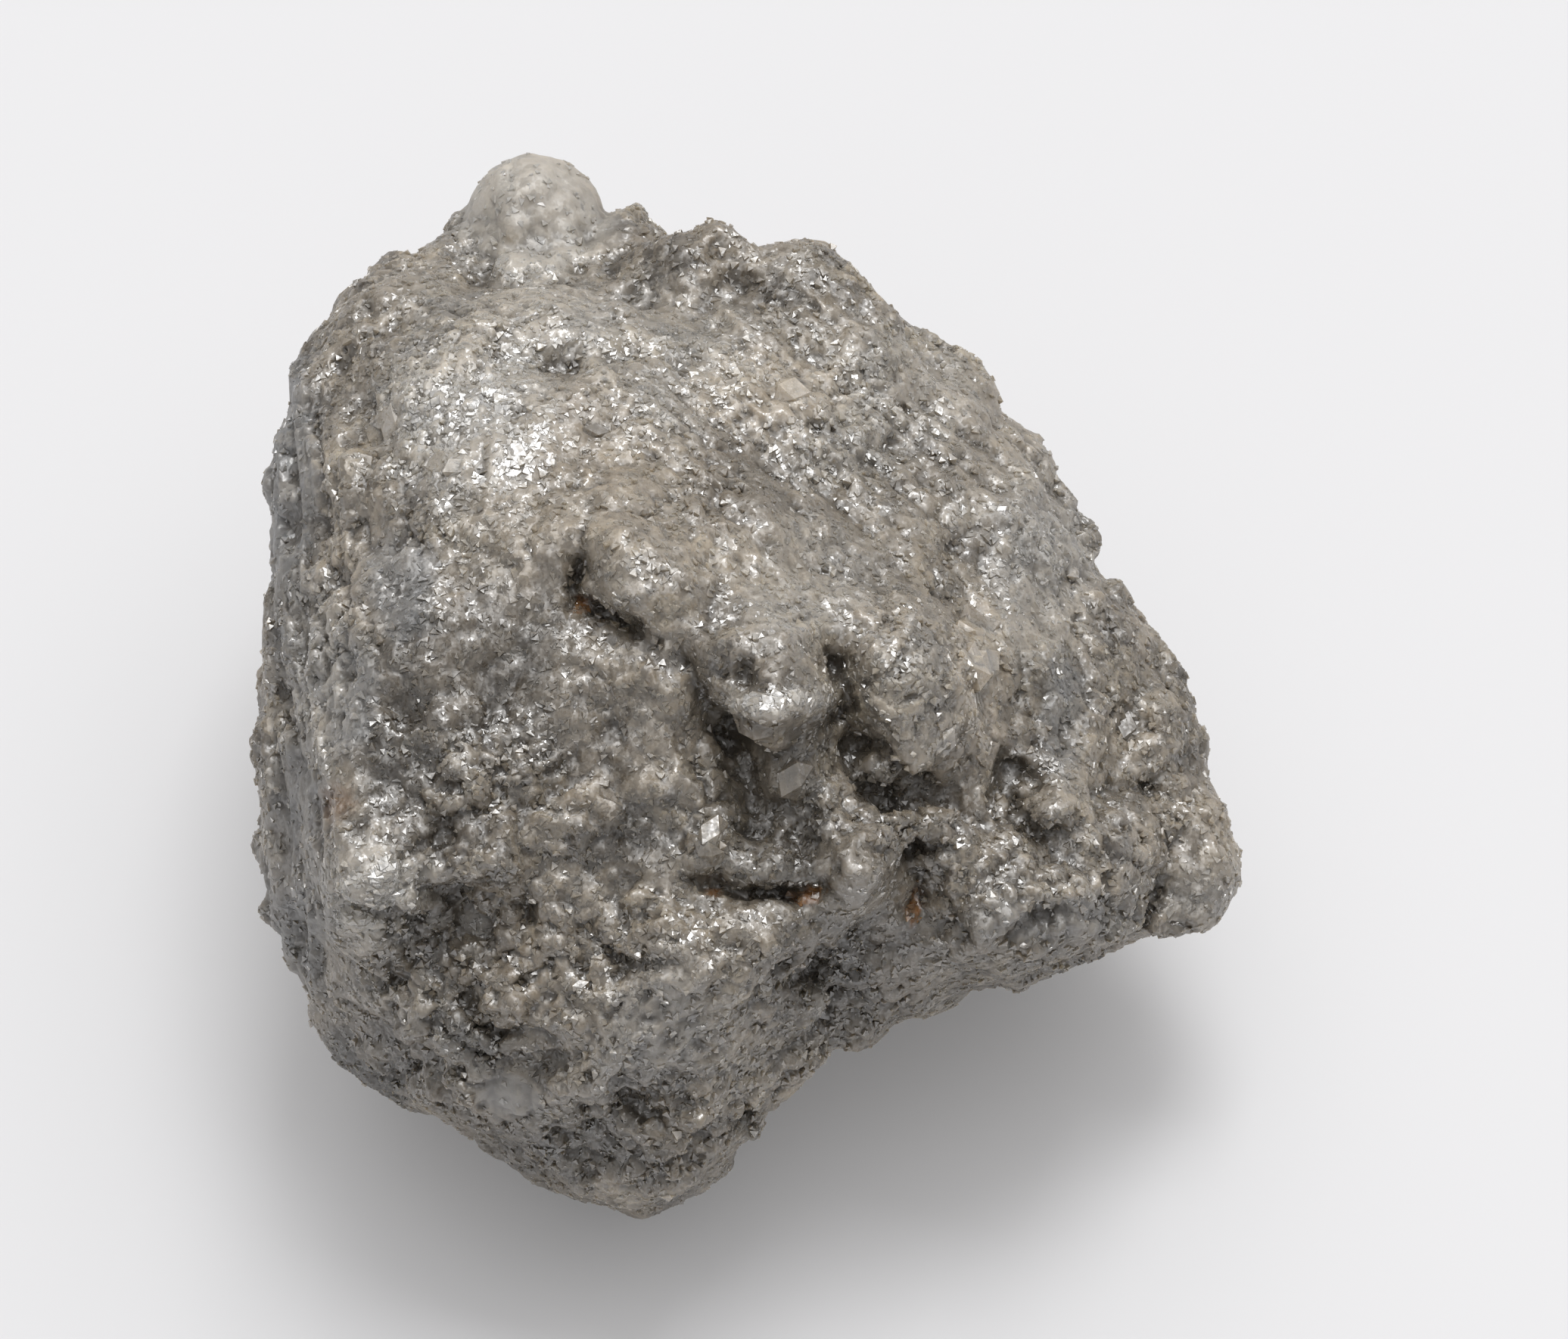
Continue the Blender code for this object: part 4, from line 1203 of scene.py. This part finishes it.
def scatter(name, shape, material, count, sizes, lift, tilt, seed, where, towards=None):
    """Lays copies of a crystal on the skin, more of them where the weights are high, as one piece."""
    crystal_corners, crystal_faces = shape
    chance = np.random.default_rng(seed)
    faces = faces_of(skin.data)
    corners = read(skin.data, "vertices")[faces] / MM
    across = np.cross(corners[:, 1] - corners[:, 0], corners[:, 2] - corners[:, 0])
    area = np.linalg.norm(across, axis=1)
    weight = area * where[faces].mean(axis=1)
    # A random place on a random triangle.
    chosen = chance.choice(len(faces), count, p=weight / weight.sum())
    middle = (corners[chosen] * chance.dirichlet((1, 1, 1), count)[..., None]).sum(axis=1)
    # One face looks out of the skin, more or less, and the crystal is turned at random about that way.
    outward = even_normals[faces[chosen, 0]]
    normal = outward + 0.5 * across[chosen] / area[chosen, None] + chance.normal(0, tilt, (count, 3))
    if towards is not None:
        normal += towards
    normal /= np.linalg.norm(normal, axis=1, keepdims=True)
    side = np.cross(normal, chance.normal(0, 1, (count, 3)))
    side /= np.linalg.norm(side, axis=1, keepdims=True)
    turn = np.stack([side, np.cross(normal, side), normal], axis=1)
    size = chance.uniform(*sizes, count)[:, None, None] / 2
    stretch = chance.uniform(0.7, 1.0, (count, 1, 3)) * LONG
    # It is sunk until its top stands out by a share of its size.
    body = (crystal_corners * stretch * size) @ turn
    height = (body @ outward[..., None]).max(axis=1)
    body += (middle - outward * (height - lift * 2 * size[:, 0]))[:, None]
    kept = body[..., 2].min(axis=1) > OFF_THE_TABLE
    body, chosen, number = body[kept], chosen[kept], int(kept.sum())

    # All copies become one mesh, and each has the tones of the skin that it grows from.
    made = bpy.data.meshes.new(name)
    index = (crystal_faces[None] + len(crystal_corners) * np.arange(number)[:, None, None]).reshape(-1, 3)
    made.vertices.add(body.size // 3)
    made.vertices.foreach_set("co", (body * MM).astype(np.float32).ravel())
    made.loops.add(index.size)
    made.loops.foreach_set("vertex_index", index.astype(np.int32).ravel())
    made.polygons.add(len(index))
    made.polygons.foreach_set("loop_start", np.arange(0, index.size, 3, dtype=np.int32))
    made.update(calc_edges=True)
    made.shade_flat()
    values = {attribute: amount[faces[chosen, 0]] for attribute, amount in painted.items()}
    for attribute, amount in values.items():
        data = made.attributes.new(attribute, "FLOAT", "POINT").data
        data.foreach_set("value", np.repeat(amount, len(crystal_corners)).astype(np.float32))
    piece = bpy.data.objects.new(name, made)
    bpy.context.scene.collection.objects.link(piece)
    made.materials.append(material)
    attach(piece, "root")
    print(name, number, "crystals,", len(index), "triangles")


# %% [markdown]
# ## Where crystals grow, and where they glint
#
# Crystals stand in clumps, with fine dull ones between. Crystals that grew side by side share the
# direction of their faces, so a whole patch flashes at once. In the bright places the faces are therefore
# turned part of the way to `HALFWAY`, the direction between the key light and the camera, in which a
# mirror would show the light. The middling satin ones are turned a little and the clear ones more.

# %% Set crystals into the skin
BLOCKS = (  # right and up, of the largest single crystals
    (-0.65, 3.75), (0.15, 3.70), (2.55, 0.55), (2.60, 0.10), (2.55, -0.40), (-2.50, -1.65),
    (-1.00, -2.30), (4.60, -0.80), (-4.15, 3.90), (-4.50, 2.65), (-5.30, 3.20), (0.50, -4.42),
    (2.05, -1.05), (-2.55, 3.20), (-0.30, -2.05), (0.00, -1.50),
)
grainy = 1 - 0.98 * np.clip(1.3 * painted["smooth"], 0, 1)
grainy *= 1 - 0.7 * turned_away(mesh)
clumps = grainy * np.clip(2 * clouds(points, 1.1, 2) + 0.7, 0.3, 1)
KEY_LIGHT = np.array([0.10, 0.32, 0.942])  # towards the brightest part of the ceiling
HALFWAY = (KEY_LIGHT + NEAR) / np.linalg.norm(KEY_LIGHT + NEAR)
blocks = sum(oval(seen, *place, 0.10, 0.10, 0.5) for place in BLOCKS)
dull = 1 - 0.85 * painted["clear"]
satin = painted["bright"] * np.clip(2.2 * clouds(points, 0.6, 2) + 0.7, 0.04, 1)
sparkling = painted["bright"] ** 3 * np.clip(2.2 * clouds(points, 0.6, 2) + 0.8, 0.1, 1)
scatter("grown_crystals", OCTAHEDRON, boart_crystals, 17000, (0.12, 0.32), 0.07, 0.14, 21, clumps)
scatter("more_crystals", OCTAHEDRON, boart_crystals, 14000, (0.12, 0.26), 0.11, 0.18, 26, grainy)
scatter("small_crystals", OCTAHEDRON, boart_crystals, 12000, (0.07, 0.15), 0.10, 0.22, 22, grainy * dull)
scatter(
    "satin_crystals", OCTAHEDRON, boart_crystals, 5000,
    (0.08, 0.20), 0.08, 0.14, 25, satin, 1.2 * HALFWAY,
)
scatter(
    "bright_crystals", CUT_CUBE, clean_crystals, 1300,
    (0.08, 0.20), 0.08, 0.15, 23, sparkling, 2.0 * HALFWAY,
)
scatter(
    "large_crystals", CUT_CUBE, clean_crystals, 45,
    (0.22, 0.36), 0.09, 0.12, 24, sparkling**2, 2.4 * HALFWAY,
)
scatter("block_crystals", CUT_CUBE, boart_crystals, 40, (0.34, 0.52), 0.16, 0.15, 27, facing * blocks)

# %% [markdown]
# ## Floor, light and camera
#
# The stone lies on matt white paper on a light table, so the paper shines a little itself. The other
# light is soft too: it comes from the ceiling above and behind the stone, and from a pale wall in front
# of it on the left. A small softbox high behind the stone adds the crisp glints.

# %% Floor
bpy.ops.object.select_all(action="DESELECT")
bpy.ops.mesh.primitive_plane_add(size=0.8, location=(0, 0, 0))
floor = bpy.context.object
floor.name = "table"
# Paper pulp scatters light evenly, and a little light comes through it, which gives the eye a white
# without a highlight and a pale shadow.
card = bpy.data.materials.new("white paper, matt, on a light table")
card.use_nodes = True
paper = card.node_tree.nodes["Principled BSDF"].inputs
paper["Base Color"].default_value = colour("D6D6D8")
paper["Emission Color"].default_value = colour("F4F4F6")
paper["Emission Strength"].default_value = 0.13
paper["Roughness"].default_value = 0.6
floor.data.materials.append(card)
print("floor:", round(floor.dimensions.x, 2), "m wide")

# %% Light from a pale room
ROOM = 0.18  # the least light, from every side
GLOWS = (  # direction, strength, and how sharp it is: the ceiling, and a pale wall in front on the left
    (KEY_LIGHT, 1.9, 4.0),
    (np.array([-0.35, -0.80, 0.48]), 0.24, 3.0),
)
world = bpy.context.scene.world or bpy.data.worlds.new("pale room")
bpy.context.scene.world = world
world.use_nodes = True
tree = world.node_tree
tree.nodes.clear()
looking = add(tree, "ShaderNodeTexCoord").outputs["Generated"]
strength = ROOM
for direction, most, sharpness in GLOWS:
    direction = tuple(direction / np.linalg.norm(direction))
    towards = add(tree, "ShaderNodeVectorMath", {0: looking, 1: direction}, operation="DOT_PRODUCT")
    towards = add(tree, "ShaderNodeMath", {0: towards.outputs["Value"], 1: 0.0}, operation="MAXIMUM")
    lobe = add(tree, "ShaderNodeMath", {0: towards.outputs["Value"], 1: sharpness}, operation="POWER")
    sockets = {0: lobe.outputs["Value"], 1: most, 2: strength}
    strength = add(tree, "ShaderNodeMath", sockets, operation="MULTIPLY_ADD").outputs["Value"]
glow = add(tree, "ShaderNodeBackground", {"Color": colour("F6F5F4"), "Strength": strength})
add(tree, "ShaderNodeOutputWorld", {"Surface": glow.outputs["Background"]})
print(len(GLOWS), "glows in a room of", ROOM)

# %% A softbox, for the crisp glints
SOFTBOX_SIZE = 240  # in millimetres, as is its distance
SOFTBOX_DISTANCE = 640
bpy.ops.object.light_add(type="AREA", location=(HEART + KEY_LIGHT * SOFTBOX_DISTANCE) * MM)
softbox = bpy.context.object
softbox.name = "softbox"
softbox.data.size = SOFTBOX_SIZE * MM
softbox.data.energy = 1.4
softbox.rotation_euler = (Vector(HEART * MM) - softbox.location).to_track_quat("-Z", "Y").to_euler()
print("softbox:", SOFTBOX_SIZE, "mm wide,", SOFTBOX_DISTANCE, "mm away")

# %% Camera
bpy.ops.object.camera_add(location=Vector((HEART + NEAR * CAMERA_DISTANCE) * MM))
camera = bpy.context.object
camera.data.lens = LENS
camera.data.sensor_width = SENSOR_WIDTH
camera.data.clip_start = 0.01
camera.rotation_euler = Vector(-NEAR).to_track_quat("-Z", "Y").to_euler()
bpy.context.scene.camera = camera
bpy.context.scene.view_settings.view_transform = "Standard"
print("camera:", LENS, "mm lens,", round(math.degrees(ELEVATION)), "degrees above the table")
